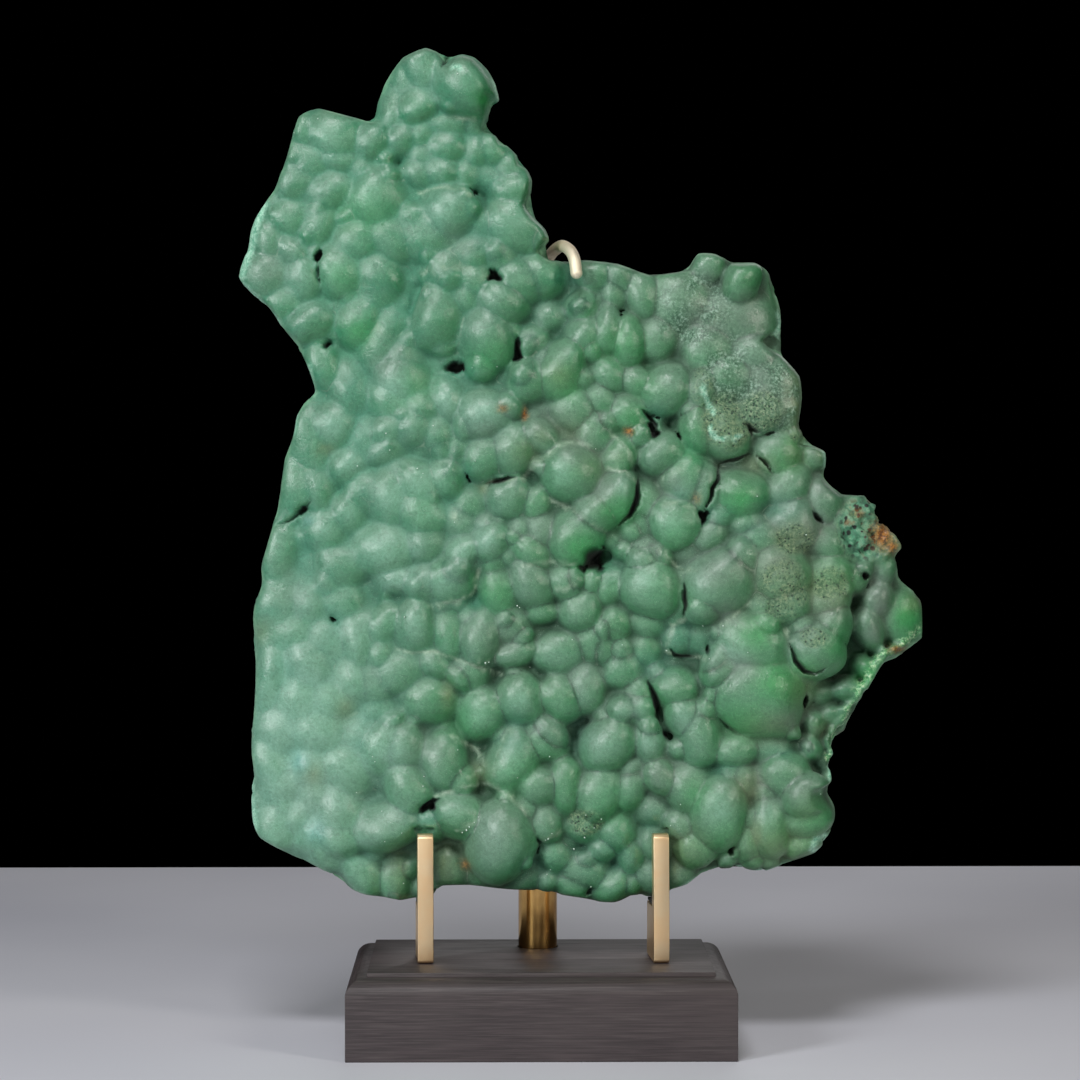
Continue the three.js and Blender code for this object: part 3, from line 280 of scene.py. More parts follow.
# Small lumps between the others: centre x, centre z, radius, how far the top stands forward
small_lumps = [
    (-18.5, 377, 2.5, 10), (-58.9, 346.3, 4.4, 12.5), (-60, 353, 3.5, 11), (-91, 324, 4, 10),
    (-99, 355, 4, 9), (-88, 333.5, 4.5, 10.5), (-76, 329, 4, 11), (-51, 331, 5, 13), (-44, 317, 5, 13),
    (-1, 323, 5.5, 13.5), (-17.5, 315, 5, 14), (-35, 305.5, 6, 14.5), (-24, 272.5, 7, 16),
    (-4.5, 280, 4.8, 13.5), (-6, 269, 6, 15.5), (14, 295, 3.8, 12.5), (21, 275.5, 5.2, 13.5),
    (18, 264, 4.5, 15), (26, 248, 4, 15), (40, 244, 5, 16), (-57, 251.5, 3, 13), (-33, 238, 3, 13.5),
    (-41, 239, 4.5, 13.5), (-60, 237, 2.4, 13), (-36, 231, 4, 14.5), (-43, 219, 3, 14.5), (-67, 219, 5, 12),
    (-34, 188, 6, 16.5), (-50, 183, 6, 15.5), (-12, 192, 3.5, 14.5), (-11, 201, 4, 15.5),
    (13.5, 188, 4, 17), (21, 186, 5, 15), (25, 165, 5, 16), (33, 134, 6.2, 17.5), (40, 134, 6.2, 17.5),
    (28, 200, 4, 14), (36, 204, 5.5, 15.5), (33, 196, 4.5, 14.5), (46, 197, 6, 15.5), (40, 192, 6, 18),
    (66, 133, 6, 19), (69, 153, 6, 18.5), (55, 118.5, 3.5, 17.5), (75, 108, 5, 16.5), (84, 90, 5.5, 19.5),
    (91, 100, 6, 19), (78, 76, 3.5, 15), (43, 125, 4.5, 18.5), (36, 108, 4.5, 15.5), (33, 157, 5, 15),
    (102, 243, 3, 12.5), (104, 244.5, 2.2, 8), (121, 210, 4.5, 13), (130, 216, 3.5, 8), (124, 216, 3.5, 9),
    (133, 210, 3.5, 8.5), (139, 200, 4.5, 8), (141, 198, 3, 6), (130, 196, 4.5, 9), (122, 197, 5, 12),
    (128, 190, 4, 10), (121, 181, 4, 15), (-58, 59.5, 3, 8.5), (-53, 68, 4, 9), (3, 64, 4.5, 10),
    (24, 78, 5.5, 13), (17, 74, 4, 12), (36, 62, 4.5, 10), (75, 73, 4, 14), (85, 72, 4, 13),
    (92, 72, 4, 13), (113.5, 107, 3, 15), (111, 113, 3, 11), (-85, 184, 5, 10.5), (-109, 148, 3, 9),
    (-62, 157, 4, 12), (-60, 127, 5, 13.5), (-104, 94, 4, 9.5), (-98, 90, 5, 11), (-88, 74, 4.5, 10),
    (-14, 171, 4, 15), (-8, 163, 4.5, 14.5), (48, 196, 5, 16), (88, 176, 7, 20.5), (89, 168, 6, 22),
    (104, 168, 6, 20.5), (76, 171, 5, 19.5), (-28, 333, 4, 13),
]

# Rough, broad humps on the back: centre x, centre z, half width, half height, how far they stand back
back_humps = [
    (-80, 110, 34, 34, 13), (-20, 95, 40, 30, 14), (55, 100, 42, 30, 13.5), (-70, 190, 36, 44, 13.5),
    (0, 175, 40, 44, 15), (75, 165, 38, 40, 14), (-75, 300, 34, 32, 13), (-20, 275, 38, 40, 14.5),
    (55, 255, 42, 42, 14), (-45, 350, 26, 36, 13),
]

# Pits between the lumps, carved and painted near black as their shade: centre x, centre z, half width, half
# height
pits = [
    (-88.3, 314.6, 1.4, 2.2), (-85, 275, 1.7, 4.6), (-33.5, 270.5, 3.2, 2), (-9.2, 276.5, 1.6, 4.4),
    (-18.5, 306.5, 2.4, 2), (20.5, 195, 4.5, 5.5), (45.5, 247, 1.8, 4), (55.5, 246, 1.4, 4),
    (-28, 227.5, 1.8, 2.6), (88, 246, 4, 2.6), (76, 78, 1.4, 1.8), (-26.6, 340, 1.3, 1.5),
    (-83.5, 168, 1.6, 2), (32.2, 292.4, 1.5, 1), (-95.5, 213.5, 1.6, 2.2), (-2, 79, 1.8, 3),
    (64.5, 211, 1.6, 2.6), (107.5, 136.5, 2.6, 2.4), (130.5, 184.5, 1.6, 3.5), (125.8, 164, 1.8, 6),
    (117.3, 124.3, 1.6, 1.6), (-45, 95.5, 4, 2), (118.3, 141, 1.2, 4), (122, 153, 2.2, 1.6),
]
# The one pit that stays open where lumps meet
wide_pit = (20.5, 195, 7, 8)

# Cracks, carved and painted near black as their shade: width, depth and the points they run through
cracks = [
    (1.1, 6, [(38.6, 227), (38.6, 221), (37.8, 216), (35, 211), (31, 207.8)]),
    (0.9, 5, [(40, 253.5), (43.5, 250), (46, 247.5), (47, 243.5)]),
    (0.8, 5, [(71, 232), (70.5, 226), (68.3, 222), (67.3, 217), (64.5, 213)]),
    (0.7, 4, [(71, 231.8), (77, 233.5), (84, 236)]),
    (1.2, 6, [(42.5, 145.5), (45, 141), (46.8, 134.5), (48, 128)]), (0.9, 5, [(48.8, 125.5), (50.8, 122)]),
    (0.9, 5, [(57, 185), (57.6, 176), (57, 171)]),
    (1.0, 5, [(98.8, 161), (101, 154), (105, 149.3), (109, 148.5), (113, 151)]),
    (0.8, 4, [(66.6, 160), (66.3, 155.5)]), (1.0, 5, [(108.5, 213), (110.5, 210), (113, 208.3)]),
    (1.1, 5, [(-48, 92), (-44, 96), (-40, 98.8)]), (0.9, 5, [(-22, 223.8), (-17, 225), (-10, 226.6)]),
    (0.6, 3, [(71, 131), (74.5, 127), (80, 124.3)]), (0.9, 4, [(88, 244.4), (84, 246), (81, 248)]),
    (0.8, 4, [(86, 235.5), (89.5, 232.5), (92.5, 227.8)]), (0.8, 4, [(18, 58.5), (20.8, 61.8)]),
    (0.6, 3, [(-88.6, 312.4), (-88.6, 307), (-87.4, 302.6)]),
    (0.6, 3, [(-90, 219), (-95, 213), (-100, 209.2), (-107, 206.6)]),
    (0.7, 4, [(-36.8, 396), (-37.8, 392.4), (-39.4, 389)]),
    (0.7, 4, [(51.5, 159), (53, 156), (57, 154.8), (62, 155)]),
]

# Broken, crumbly lip around the flap: x, y and z of the points it runs through
flap_lip = [
    (152.6, -2, 165.2), (147.6, -4.5, 161), (142, -6.5, 158), (137.6, -8, 156), (133.4, -9.5, 152.4),
    (131.4, -10.5, 147.6), (127.6, -10.5, 143.4), (126.2, -10.5, 137.6), (123.2, -10, 133.4),
    (122, -9.5, 128.4), (118.6, -9, 124.2), (116.2, -9, 118.6), (115.2, -9, 113.5),
]

# Pale lines along creases: the points they run through
pale_lines = [
    [
        (-21.8, 222), (-20.7, 224.7), (-13.7, 225.3), (-6.7, 226.1), (-4, 229.6), (1.4, 233.9),
        (6.8, 239.3), (12.2, 240.6), (19.8, 239.3),
    ],
    [(24.1, 245.8), (30.6, 242), (35.4, 236.1), (36.5, 230.7)],
    [(26.2, 230.1), (33.8, 228.5), (38.1, 224.2)],
    [(3.6, 217.7), (11.1, 214.5), (16.5, 211.3), (23, 205.9), (25.7, 204.8)],
    [(-7.2, 191.3), (3.6, 192.9), (13.3, 191.8)], [(6.8, 182.1), (10, 181.6), (15.4, 185.9)],
    [(-43.9, 175.1), (-33.1, 177.3), (-26.6, 180.5), (-24.5, 189.7)],
    [(46.7, 223.7), (50, 227.4), (56.4, 230.1), (59.7, 233.9)],
    [(48.9, 216.1), (55.4, 216.6), (60.8, 213.4), (62.9, 209.1)],
    [(45.7, 198.3), (51.1, 194), (55.4, 189.7), (61, 189.3)], [(-34.7, 213.4), (-33.6, 208)],
    [(60, 303), (66, 296), (71, 291), (69.5, 287)], [(71.8, 167.8), (77.8, 172.6), (82.5, 176.1)],
    [(-57.2, 157.7), (-50.4, 156.4), (-42.3, 157.1), (-35.5, 154.4), (-23.4, 150.3), (-15.2, 147.6)],
    [(-42.3, 98.9), (-31.5, 102.9), (-20.7, 104.3), (-11.2, 98.9), (-5.8, 92.8)],
    [(-35.5, 123.2), (-26.1, 117.8), (-20.7, 109.7)], [(-12.5, 126), (-16.6, 117.8), (-19.3, 107)],
    [(50.3, 157), (55.1, 155.3), (65.8, 154.7)], [(50.3, 159.4), (52.7, 167.8), (57.5, 170.2)],
    [(98.7, 161.8), (96.9, 165.4), (101.6, 166.6)],
    [(-47.7, 339.7), (-39.1, 341.7), (-31.2, 341), (-27.2, 338.4)],
    [(-43, 368.7), (-33.8, 369.4), (-25.9, 368.7)],
    [(-47, 308), (-37.8, 310), (-28.5, 310), (-20.6, 306.1)], [(-33.5, 86), (-30.1, 86.7), (-24, 90.8)],
    [(1, 82), (3.7, 82.7), (7.7, 85.4)], [(-73.4, 101.5), (-73.6, 98.6)], [(-24.5, 153), (-20.9, 152.6)],
]

# Freshly broken, bright edges: half width and the points they run through
bright_edges = [
    (1.7, [(-110.5, 336), (-113.5, 328), (-115.8, 318), (-119.8, 307)]),
    (1.0, [(-92.5, 271), (-91, 260.5)]), (0.9, [(-97.5, 252.5), (-98.6, 244)]),
    (1.4, [(-116.2, 106), (-116.4, 95), (-114.5, 86)]), (0.7, [(-18.6, 384), (-16.8, 377.5)]),
    (0.9, [(95.5, 292), (96.5, 288), (94.5, 284)]), (1.2, [(114, 237), (114.5, 231)]),
    (0.8, [(80, 69.2), (88, 67.8), (97, 70)]), (1.0, [(57, 62.2), (62, 64.8)]),
    (1.2, [(108.5, 78), (109.5, 82), (114, 82.5), (116, 80), (111.5, 76.5), (109, 77.5)]),
    (0.8, [(117.3, 120.5), (116, 112), (115.2, 106)]),
    (0.7, [(-35.2, 388.4), (-32.5, 389.3), (-30.6, 388)]), (0.8, [(-104, 288), (-112, 297), (-119, 304)]),
    (0.8, [(64.5, 262.5), (66, 257), (68.5, 252)]), (0.8, [(67, 246), (69, 242), (75, 241.5), (79, 243)]),
]

# Ovals of pitted, crumbly skin, of frosted skin, and of the spongy matrix: centre x, z, half width, height
crumbly_ovals = [
    (73, 250, 11, 12), (96, 182, 11, 13.5), (88, 253, 10, 9), (101, 202, 9, 7), (115, 184, 8, 8),
    (108, 163, 6, 4.5), (127, 206, 10, 13), (18, 89, 8, 6), (64, 262, 5, 9), (75, 245, 10, 8),
    (103, 243, 4, 3),
]
frosted_ovals = [(61, 293, 14, 15), (77, 270, 12, 14), (92, 259, 12, 15)]
matrix_oval = (130, 206, 12, 14)
sponge_oval = (129, 206, 11, 14)
smooth_oval = (90, 262, 17, 20)

# Tints: centre x, centre z, half width, half height, strength
tints = {
    "green": [
        (-22.6, 375.8, 2.6, 2.2, 1), (31, 214, 8, 7, 0.9), (17, 198, 8, 6, 1), (8, 226, 5, 6, 0.4),
        (84, 165, 9, 8, 0.8), (93, 146, 9, 8, 0.8), (80, 130, 9, 7, 0.6), (60, 181, 8, 8, 0.5),
        (79, 217, 7, 7, 0.8), (98, 233, 8, 7, 0.5), (101, 240, 5, 4, 0.6), (60, 236, 7, 7, 0.5),
        (36, 250, 7, 6, 0.6), (42, 262, 7, 7, 0.4), (-19, 180, 7, 7, 0.4), (52, 205, 6, 6, 0.5),
        (147, 171, 7, 8, 1), (131, 148, 5, 6, 0.9), (116, 185, 7, 7, 0.5), (104, 150, 7, 6, 0.6),
        (-30, 130, 9, 8, 0.5), (-10, 108, 9, 9, 0.5), (28, 96, 9, 8, 0.5), (62, 100, 8, 8, 0.5),
        (45, 136, 6, 6, 0.4), (-70, 333, 10, 9, 0.5), (-80, 306, 7, 7, 0.5), (-72, 284, 7, 6, 0.6),
        (-20, 275, 9, 6, 0.5), (-50, 262, 9, 8, 0.4), (30, 280, 10, 8, 0.4), (10, 262, 7, 7, 0.5),
        (-46, 215, 8, 8, 0.3), (93, 84, 8, 10, 0.5), (108, 90, 9, 7, 0.5), (72, 84, 8, 8, 0.4),
        (45, 186, 8, 8, 0.3), (117, 160, 6, 8, 0.5), (96, 300, 5, 8, 0.5),
    ],
    "mauve": [
        (14, 238, 8, 5, 0.6), (25, 222, 6, 6, 0.6), (2, 205, 6, 5, 0.4), (64, 188, 10, 8, 0.6),
        (75, 172, 8, 6, 0.7), (78, 152, 7, 6, 0.6), (100, 130, 8, 6, 0.5), (108, 206, 10, 9, 0.8),
        (92, 208, 9, 7, 0.6), (115, 176, 7, 6, 0.6), (95, 193, 8, 7, 0.6), (112, 224, 6, 6, 0.6),
        (66, 290, 14, 10, 0.9), (84, 290, 9, 10, 0.8), (90, 262, 14, 14, 0.8), (64, 304, 10, 6, 0.7),
        (3, 250, 9, 7, 0.5), (-22, 246, 8, 6, 0.4), (136, 178, 6, 12, 1), (133, 165, 5, 6, 0.8),
        (-90, 98, 12, 10, 0.5), (-108, 310, 8, 10, 0.4), (-50, 120, 10, 8, 0.4), (20, 126, 8, 6, 0.4),
        (47, 108, 7, 7, 0.6), (84, 106, 8, 7, 0.6), (104, 104, 8, 6, 0.5), (-32, 320, 8, 6, 0.3),
        (-60, 272, 8, 8, 0.4), (74, 228, 9, 6, 0.4), (-100, 180, 8, 12, 0.4), (-16, 160, 9, 8, 0.4),
        (52, 223, 6, 6, 0.6), (120, 212, 4, 4, 0.5), (110, 236, 5, 5, 0.5), (-18, 85, 8, 9, 0.4),
    ],
    "teal": [
        (-73, 247, 4, 20, 0.9), (-74, 262, 5, 8, 1), (-82, 168, 4, 6, 0.9), (-103, 150, 4, 8, 0.7),
        (-71, 129, 5, 8, 0.9), (-72, 120, 4, 5, 0.9), (-95, 194, 4, 13, 0.8), (-45, 90, 5, 4, 1),
        (55, 163, 7, 7, 0.9), (62, 161, 6, 6, 0.6), (45, 152, 9, 6, 0.7), (-24, 325, 7, 6, 0.8),
        (-21, 345, 6, 5, 0.8), (-33, 268, 6, 4, 0.9), (70, 212, 7, 4, 0.7), (95, 213, 9, 5, 0.9),
        (75, 110, 8, 3, 0.8), (8, 306, 7, 4, 0.8), (-56, 292, 4, 4, 0.8), (-66, 133, 8, 6, 0.6),
        (-108, 173, 6, 3, 0.9), (86, 205, 7, 6, 0.6), (-27, 176, 5, 4, 0.8), (46, 252, 5, 4, 0.7),
        (55, 219, 4, 3, 0.8), (30, 75, 20, 16, 0.5), (0, 72, 14, 10, 0.45), (-38, 216, 4, 6, 0.6),
        (-73, 347, 4, 4, 0.7), (-90, 265, 3, 6, 0.6), (-30, 228, 3, 4, 0.7), (-10, 129, 6, 5, 0.6),
        (-12, 121, 7, 5, 0.6), (15, 125, 5, 8, 0.5), (95, 117, 6, 3, 0.6), (-72, 74, 7, 4, 0.6),
        (45, 88, 5, 5, 0.7), (28, 190, 6, 6, 0.6), (60, 236, 6, 7, 0.5), (136, 196, 4, 2.5, 0.9),
    ],
    # Pale tints: partly the stone's own paler patches, partly painted highlight on dome tops and over the
    # lower left
    "pale": [
        (-98, 115, 34, 62, 0.85), (-60, 240, 30, 30, 0.15), (-93, 147, 9, 7, 1), (-90, 136, 16, 9, 0.9),
        (-86, 122, 16, 10, 0.9), (-75, 111, 14, 9, 0.8), (-61, 118, 10, 9, 0.9), (-82, 97, 12, 9, 0.8),
        (-62, 198, 13, 10, 0.7), (-55, 187, 14, 6, 0.7), (-37, 258, 6, 7, 0.8), (-22, 252, 9, 7, 0.9),
        (-58, 262, 8, 6, 0.8), (-82, 247, 6, 5, 0.7), (-75, 232, 6, 5, 0.8), (-59, 218, 8, 6, 0.8),
        (-76, 212, 4, 4, 0.7), (-86, 206, 5, 5, 0.6), (-47, 224, 7, 7, 0.8), (-44, 213, 8, 5, 0.5),
        (-31, 198, 6, 6, 0.7), (-22, 202, 6, 6, 0.8), (-72, 163, 8, 9, 0.6), (-75, 148, 7, 6, 0.6),
        (-101, 165, 7, 5, 0.5), (-92, 175, 5, 5, 0.6), (-40, 184, 9, 6, 0.6), (-50, 168, 5, 8, 0.5),
        (8, 228, 4, 5, 0.7), (33, 222, 3, 4, 0.6), (51, 208, 6, 5, 0.6), (41, 186, 6, 6, 0.6),
        (57, 223, 5, 5, 0.4), (25, 121, 8, 6, 0.5), (44, 121, 5, 4, 0.8), (27, 100, 5, 6, 0.3),
        (71, 96, 6, 6, 0.6), (-19, 85, 6, 7, 0.4), (-34, 96, 7, 5, 0.5), (-12, 112, 6, 9, 0.4),
        (-62, 91, 9, 6, 0.5), (-105, 87, 8, 7, 0.5), (91, 92, 4, 6, 0.5), (-46, 385, 8, 8, 0.4),
        (-84, 360, 8, 8, 0.5), (-68, 338, 8, 8, 0.5), (-38, 332, 7, 8, 0.5), (-10, 328, 8, 8, 0.4),
        (76, 158, 7, 7, 0.5), (62, 184, 6, 8, 0.5), (-26, 133, 7, 7, 0.5), (-8, 138, 6, 5, 0.6),
        (38, 134, 8, 5, 0.5), (57, 131, 4, 5, 0.7), (8, 155, 7, 5, 0.4), (-95, 305, 8, 8, 0.3),
        (-82, 308, 8, 8, 0.4),
    ],
    # Warm tints: partly the stone's own olive, beige and orange spots, partly painted warm highlight on domes
    "warm": [
        (101, 256, 4, 13, 1), (101, 236, 5, 6, 0.6), (113, 236, 3, 4, 0.5), (95, 80, 16, 9, 0.7),
        (90, 128, 12, 6, 0.5), (57, 78, 12, 10, 0.5), (82, 103, 6, 7, 0.8), (86, 84, 3, 6, 1),
        (100, 202, 8, 7, 0.7), (114, 182, 10, 9, 0.7), (104, 94, 8, 6, 0.4), (-38, 72, 8, 8, 0.6),
        (-57, 70, 4, 8, 0.5), (7, 267, 6, 5, 0.6), (0, 243, 4, 4, 0.5), (96, 187, 12, 12, 0.5),
        (12, 246, 8, 6, 0.4), (-6, 236, 7, 6, 0.5), (-23, 222, 2, 2, 0.8), (104, 142, 7, 8, 0.6),
        (112, 126, 6, 4, 0.5), (74, 245, 8, 8, 0.5), (88, 232, 7, 4, 0.6), (-86, 238, 4, 2, 0.8),
        (-78, 134, 4, 5, 0.7), (-37, 140, 2.5, 6, 0.9), (-24, 108, 4, 5, 0.7), (-91, 108, 4, 5, 0.7),
        (-112, 165, 4, 5, 0.7), (127, 212, 3, 3, 0.9), (150, 176, 4, 4, 0.7), (30, 235, 4, 3, 0.4),
        (20, 231, 6, 5, 0.4),
    ],
    "turquoise": [
        (-96, 112.5, 3.6, 3.6, 1), (-90, 85, 4, 4.6, 1), (-92.5, 209, 2, 2, 0.8), (-97, 116, 3, 2, 0.6),
        (121.5, 210.5, 2, 2, 0.8),
    ],
    "rust": [
        (35.2, 244.8, 1.6, 1.4, 1), (-6.3, 251.5, 1, 2.4, 1), (-15, 254, 2, 1.8, 0.6),
        (62, 218, 1.6, 2, 0.45), (137, 203.5, 4.6, 6, 1), (141, 199, 3, 3, 0.9),
        (143, 157.5, 3.5, 1.5, 0.8), (127, 212, 2.6, 2, 0.5), (-30, 71.5, 2, 1.8, 0.6),
    ],
}

# Tiny druse sparkles: x, z, radius
glints = [
    (-32.8, 385.8, 0.7), (-88.5, 369, 0.6), (-98, 363.5, 0.5), (-99, 354, 0.5), (-65, 353, 0.5),
    (-54.5, 349.5, 0.5), (-42.7, 247, 0.7), (-49, 230, 0.7), (-46.8, 228, 0.7), (-47.5, 226.5, 0.5),
    (-60, 237.3, 0.7), (-61.5, 244, 0.7), (-54.2, 171, 0.7), (-84.6, 193, 0.5), (-102.5, 205.5, 0.5),
    (-73, 231, 0.7), (-73.5, 100.5, 0.7), (-63.3, 93.5, 0.6), (-62, 81.6, 0.5), (-67, 115.2, 0.5),
    (-66, 113.2, 0.5), (-46.5, 107.2, 0.6), (-46.8, 103.5, 0.6), (-33, 117.8, 0.6), (-9.2, 107, 0.5),
    (-29.5, 86.2, 1.0), (-28.4, 87.5, 0.8), (-26.4, 89.3, 0.7), (-31.2, 85.2, 0.6), (-24.8, 91.5, 0.5),
    (-55.3, 85, 0.6), (-54.8, 63.8, 0.6), (3, 82.4, 0.9), (2, 81.9, 0.6), (4.5, 84.6, 0.6),
    (13.4, 77.6, 0.9), (17.6, 82.7, 0.8), (18, 92, 0.5), (24.2, 90.4, 0.7), (21.4, 86.6, 0.5),
    (20.2, 62.5, 0.7), (2.6, 67.6, 0.6), (4, 69.5, 0.4), (-22, 152.6, 1.0), (-20.6, 152.8, 0.7),
    (-9.3, 175.3, 0.7), (-8.4, 174.6, 0.5), (-4.2, 150.6, 0.5), (64.4, 167.5, 0.6), (72.3, 167.6, 0.7),
    (3.6, 115.2, 0.7), (55.6, 96.4, 0.6), (51.8, 87.8, 0.6), (111.2, 100.7, 0.7), (99.5, 110, 0.6),
    (85.8, 219, 0.7), (78.6, 208.3, 0.6), (105.3, 203.7, 0.7), (21.9, 237.8, 0.5), (-27.2, 270, 0.4),
    (-17.3, 270.4, 0.5), (-26, 233, 0.5), (-34.2, 208.6, 0.5), (12.6, 161.8, 0.7), (32.5, 159.8, 0.6),
    (50.2, 157.4, 0.7), (66.8, 154.6, 0.6), (81.8, 157.3, 0.5), (-1.5, 211.8, 0.4),
]


# Handling of pieces


def deselect():
    if bpy.context.object and bpy.context.object.mode != "OBJECT":
        bpy.ops.object.mode_set(mode="OBJECT")
    bpy.ops.object.select_all(action="DESELECT")


def activate(piece):
    deselect()
    piece.select_set(True)
    bpy.context.view_layer.objects.active = piece


def named(name):
    piece = bpy.context.object
    piece.name = name
    piece.data.name = name
    return piece


def settle(piece):
    """Moves the piece's place, turn and scale into its mesh."""
    activate(piece)
    bpy.ops.object.transform_apply(location=True, rotation=True, scale=True)


def join(pieces, name):
    deselect()
    for piece in pieces:
        piece.select_set(True)
    bpy.context.view_layer.objects.active = pieces[0]
    bpy.ops.object.join()
    settle(bpy.context.object)
    return named(name)


def apply_modifier(piece, kind, **settings):
    activate(piece)
    modifier = piece.modifiers.new(kind.title(), kind)
    for key, value in settings.items():
        setattr(modifier, key, value)
    bpy.ops.object.modifier_apply(modifier=modifier.name)


def bevel(piece, width, segments, degrees):
    apply_modifier(
        piece, "BEVEL",
        width=width * MM, segments=segments, limit_method="ANGLE", angle_limit=math.radians(degrees),
    )


def remesh(piece, voxel):
    apply_modifier(piece, "REMESH", mode="VOXEL", voxel_size=voxel * MM)


def displace(piece, image, strength, mid_level, direction="NORMAL", group=""):
    apply_modifier(
        piece, "DISPLACE", texture=image, texture_coords="LOCAL", direction=direction, strength=strength * MM,
        mid_level=mid_level, vertex_group=group,
    )


def combine(piece, other, operation):
    """Cuts the other piece away, or melts it in, and leaves only the result."""
    apply_modifier(piece, "BOOLEAN", operation=operation, solver="EXACT", object=other)
    activate(other)
    bpy.ops.object.delete()


def recalculate(piece):
    activate(piece)
    bpy.ops.object.mode_set(mode="EDIT")
    bpy.ops.mesh.select_all(action="SELECT")
    bpy.ops.mesh.remove_doubles(threshold=1e-6)
    bpy.ops.mesh.normals_make_consistent(inside=False)
    bpy.ops.object.mode_set(mode="OBJECT")


def coordinates(piece):
    flat = np.empty(len(piece.data.vertices) * 3)
    piece.data.vertices.foreach_get("co", flat)
    return flat.reshape(-1, 3)


def millimetres(piece):
    """The x, y and z of all the piece's vertices, in millimetres."""
    return (coordinates(piece) / MM).T


def move_vertices(piece, places):
    piece.data.vertices.foreach_set("co", np.asarray(places, dtype=float).ravel())
    piece.data.update()


def outline_plate(name, corners, start, thickness):
    """Plate cut to an outline of 3-D corners, extruded by the vector thickness from the vector start."""
    deselect()
    bpy.ops.mesh.primitive_circle_add(vertices=len(corners), radius=MM, fill_type="NGON")
    piece = named(name)
    move_vertices(piece, [Vector(corner) * MM + Vector(start) * MM for corner in corners])
    bpy.ops.object.mode_set(mode="EDIT")
    bpy.ops.mesh.select_all(action="SELECT")
    bpy.ops.mesh.extrude_region_move(TRANSFORM_OT_translate={"value": Vector(thickness) * MM})
    bpy.ops.object.mode_set(mode="OBJECT")
    recalculate(piece)
    return piece


def cylinder(name, x, y, bottom, top, radius, sides=96):
    deselect()
    middle = (top + bottom) / 2
    bpy.ops.mesh.primitive_cylinder_add(
        vertices=sides, radius=radius * MM, depth=(top - bottom) * MM, location=(x * MM, y * MM, middle * MM),
    )
    piece = named(name)
    settle(piece)
    return piece


def ball(x, y, z, half_width, half_depth, half_height):
    bpy.ops.mesh.primitive_ico_sphere_add(
        subdivisions=4 if max(half_width, half_height) > 9 else 3,
        radius=MM,
        location=(x * MM, y * MM, z * MM),
        scale=(half_width, half_depth, half_height),
    )
    return bpy.context.object


def smooth_by_angle(piece, degrees):
    activate(piece)
    bpy.ops.object.shade_smooth_by_angle(angle=math.radians(degrees))


def finish_piece(piece, material, slot, *nodes):
    piece.data.materials.clear()
    piece.data.materials.append(material)
    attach(piece, "root")
    if nodes:
        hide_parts(*nodes)


# Measuring on the stone's face


def reach(x, z, cx, cz, half_width, half_height, crown=1):
    """The crown at an oval's centre, falling to one less at its edge."""
    return crown - ((x - cx) / half_width) ** 2 - ((z - cz) / half_height) ** 2


def to_line(x, z, start, end):
    """How far along a line the nearest spot of it lies, from 0 to 1, and how far away that spot is."""
    (x0, z0), (x1, z1) = start, end
    dx, dz = x1 - x0, z1 - z0
    t = np.clip(((x - x0) * dx + (z - z0) * dz) / (dx * dx + dz * dz), 0, 1)
    return t, np.hypot(x - x0 - t * dx, z - z0 - t * dz)


def from_run(x, z, points):
    """Distance from a run of points."""
    nearest = np.full(x.shape, 1e9)
    for start, end in zip(points, points[1:]):
        nearest = np.minimum(nearest, to_line(x, z, start, end)[1])
    return nearest


def rounded(corners):
    """The outline with two more points between each pair of corners, on a smooth curve through them."""
    smooth = []
    for i, start in enumerate(corners):
        before, end, after = corners[i - 1], corners[(i + 1) % len(corners)], corners[(i + 2) % len(corners)]
        pull = min(0.5 * math.dist(start, end), 6)
        turns = []
        for a, b in ((before, end), (start, after)):
            chord = math.dist(a, b) or 1
            turns.append(((b[0] - a[0]) / chord * pull, (b[1] - a[1]) / chord * pull))
        guides = (start, turns[0], end, turns[1])
        for t in (0, 1 / 3, 2 / 3):
            shares = (
                2 * t ** 3 - 3 * t ** 2 + 1,
                t ** 3 - 2 * t ** 2 + t,
                3 * t ** 2 - 2 * t ** 3,
                t ** 3 - t ** 2,
            )
            smooth.append(tuple(
                sum(share * guide[k] for share, guide in zip(shares, guides)) for k in (0, 1)
            ))
    return smooth


def signed_distance(x, z, outline):
    """Distance to the outline in millimetres, positive inside it."""
    closed = outline + outline[:1]
    inside = np.zeros(x.shape, bool)
    for (x0, z0), (x1, z1) in zip(closed, closed[1:]):
        if z0 != z1:
            inside ^= ((z0 > z) != (z1 > z)) & (x < x0 + (z - z0) * (x1 - x0) / (z1 - z0))
    nearest = from_run(x, z, closed)
    return np.where(inside, nearest, -nearest)


def distance_table(outline):
    """Looks the signed distance up in a table with 0.75 mm steps, which is much quicker for many points."""
    left, bottom, step = -128.0, 48.0, 0.75
    across, up = np.meshgrid(left + step * np.arange(390), bottom + step * np.arange(480), indexing="ij")
    table = signed_distance(across, up, outline)

    def look_up(x, z):
        i = np.clip((x - left) / step, 0, table.shape[0] - 1.001)
        k = np.clip((z - bottom) / step, 0, table.shape[1] - 1.001)
        i0, k0 = i.astype(int), k.astype(int)
        u, v = i - i0, k - k0
        return (
            table[i0, k0] * (1 - u) * (1 - v) + table[i0 + 1, k0] * u * (1 - v)
            + table[i0, k0 + 1] * (1 - u) * v + table[i0 + 1, k0 + 1] * u * v
        )

    return look_up


main_rim = rounded(main_outline)
flap_rim = rounded(flap_outline)
from_main_rim = distance_table(main_rim)
from_flap_rim = distance_table(flap_rim)


def at_spot(measure, x, z):
    return measure(np.array([x]), np.array([z]))[0]


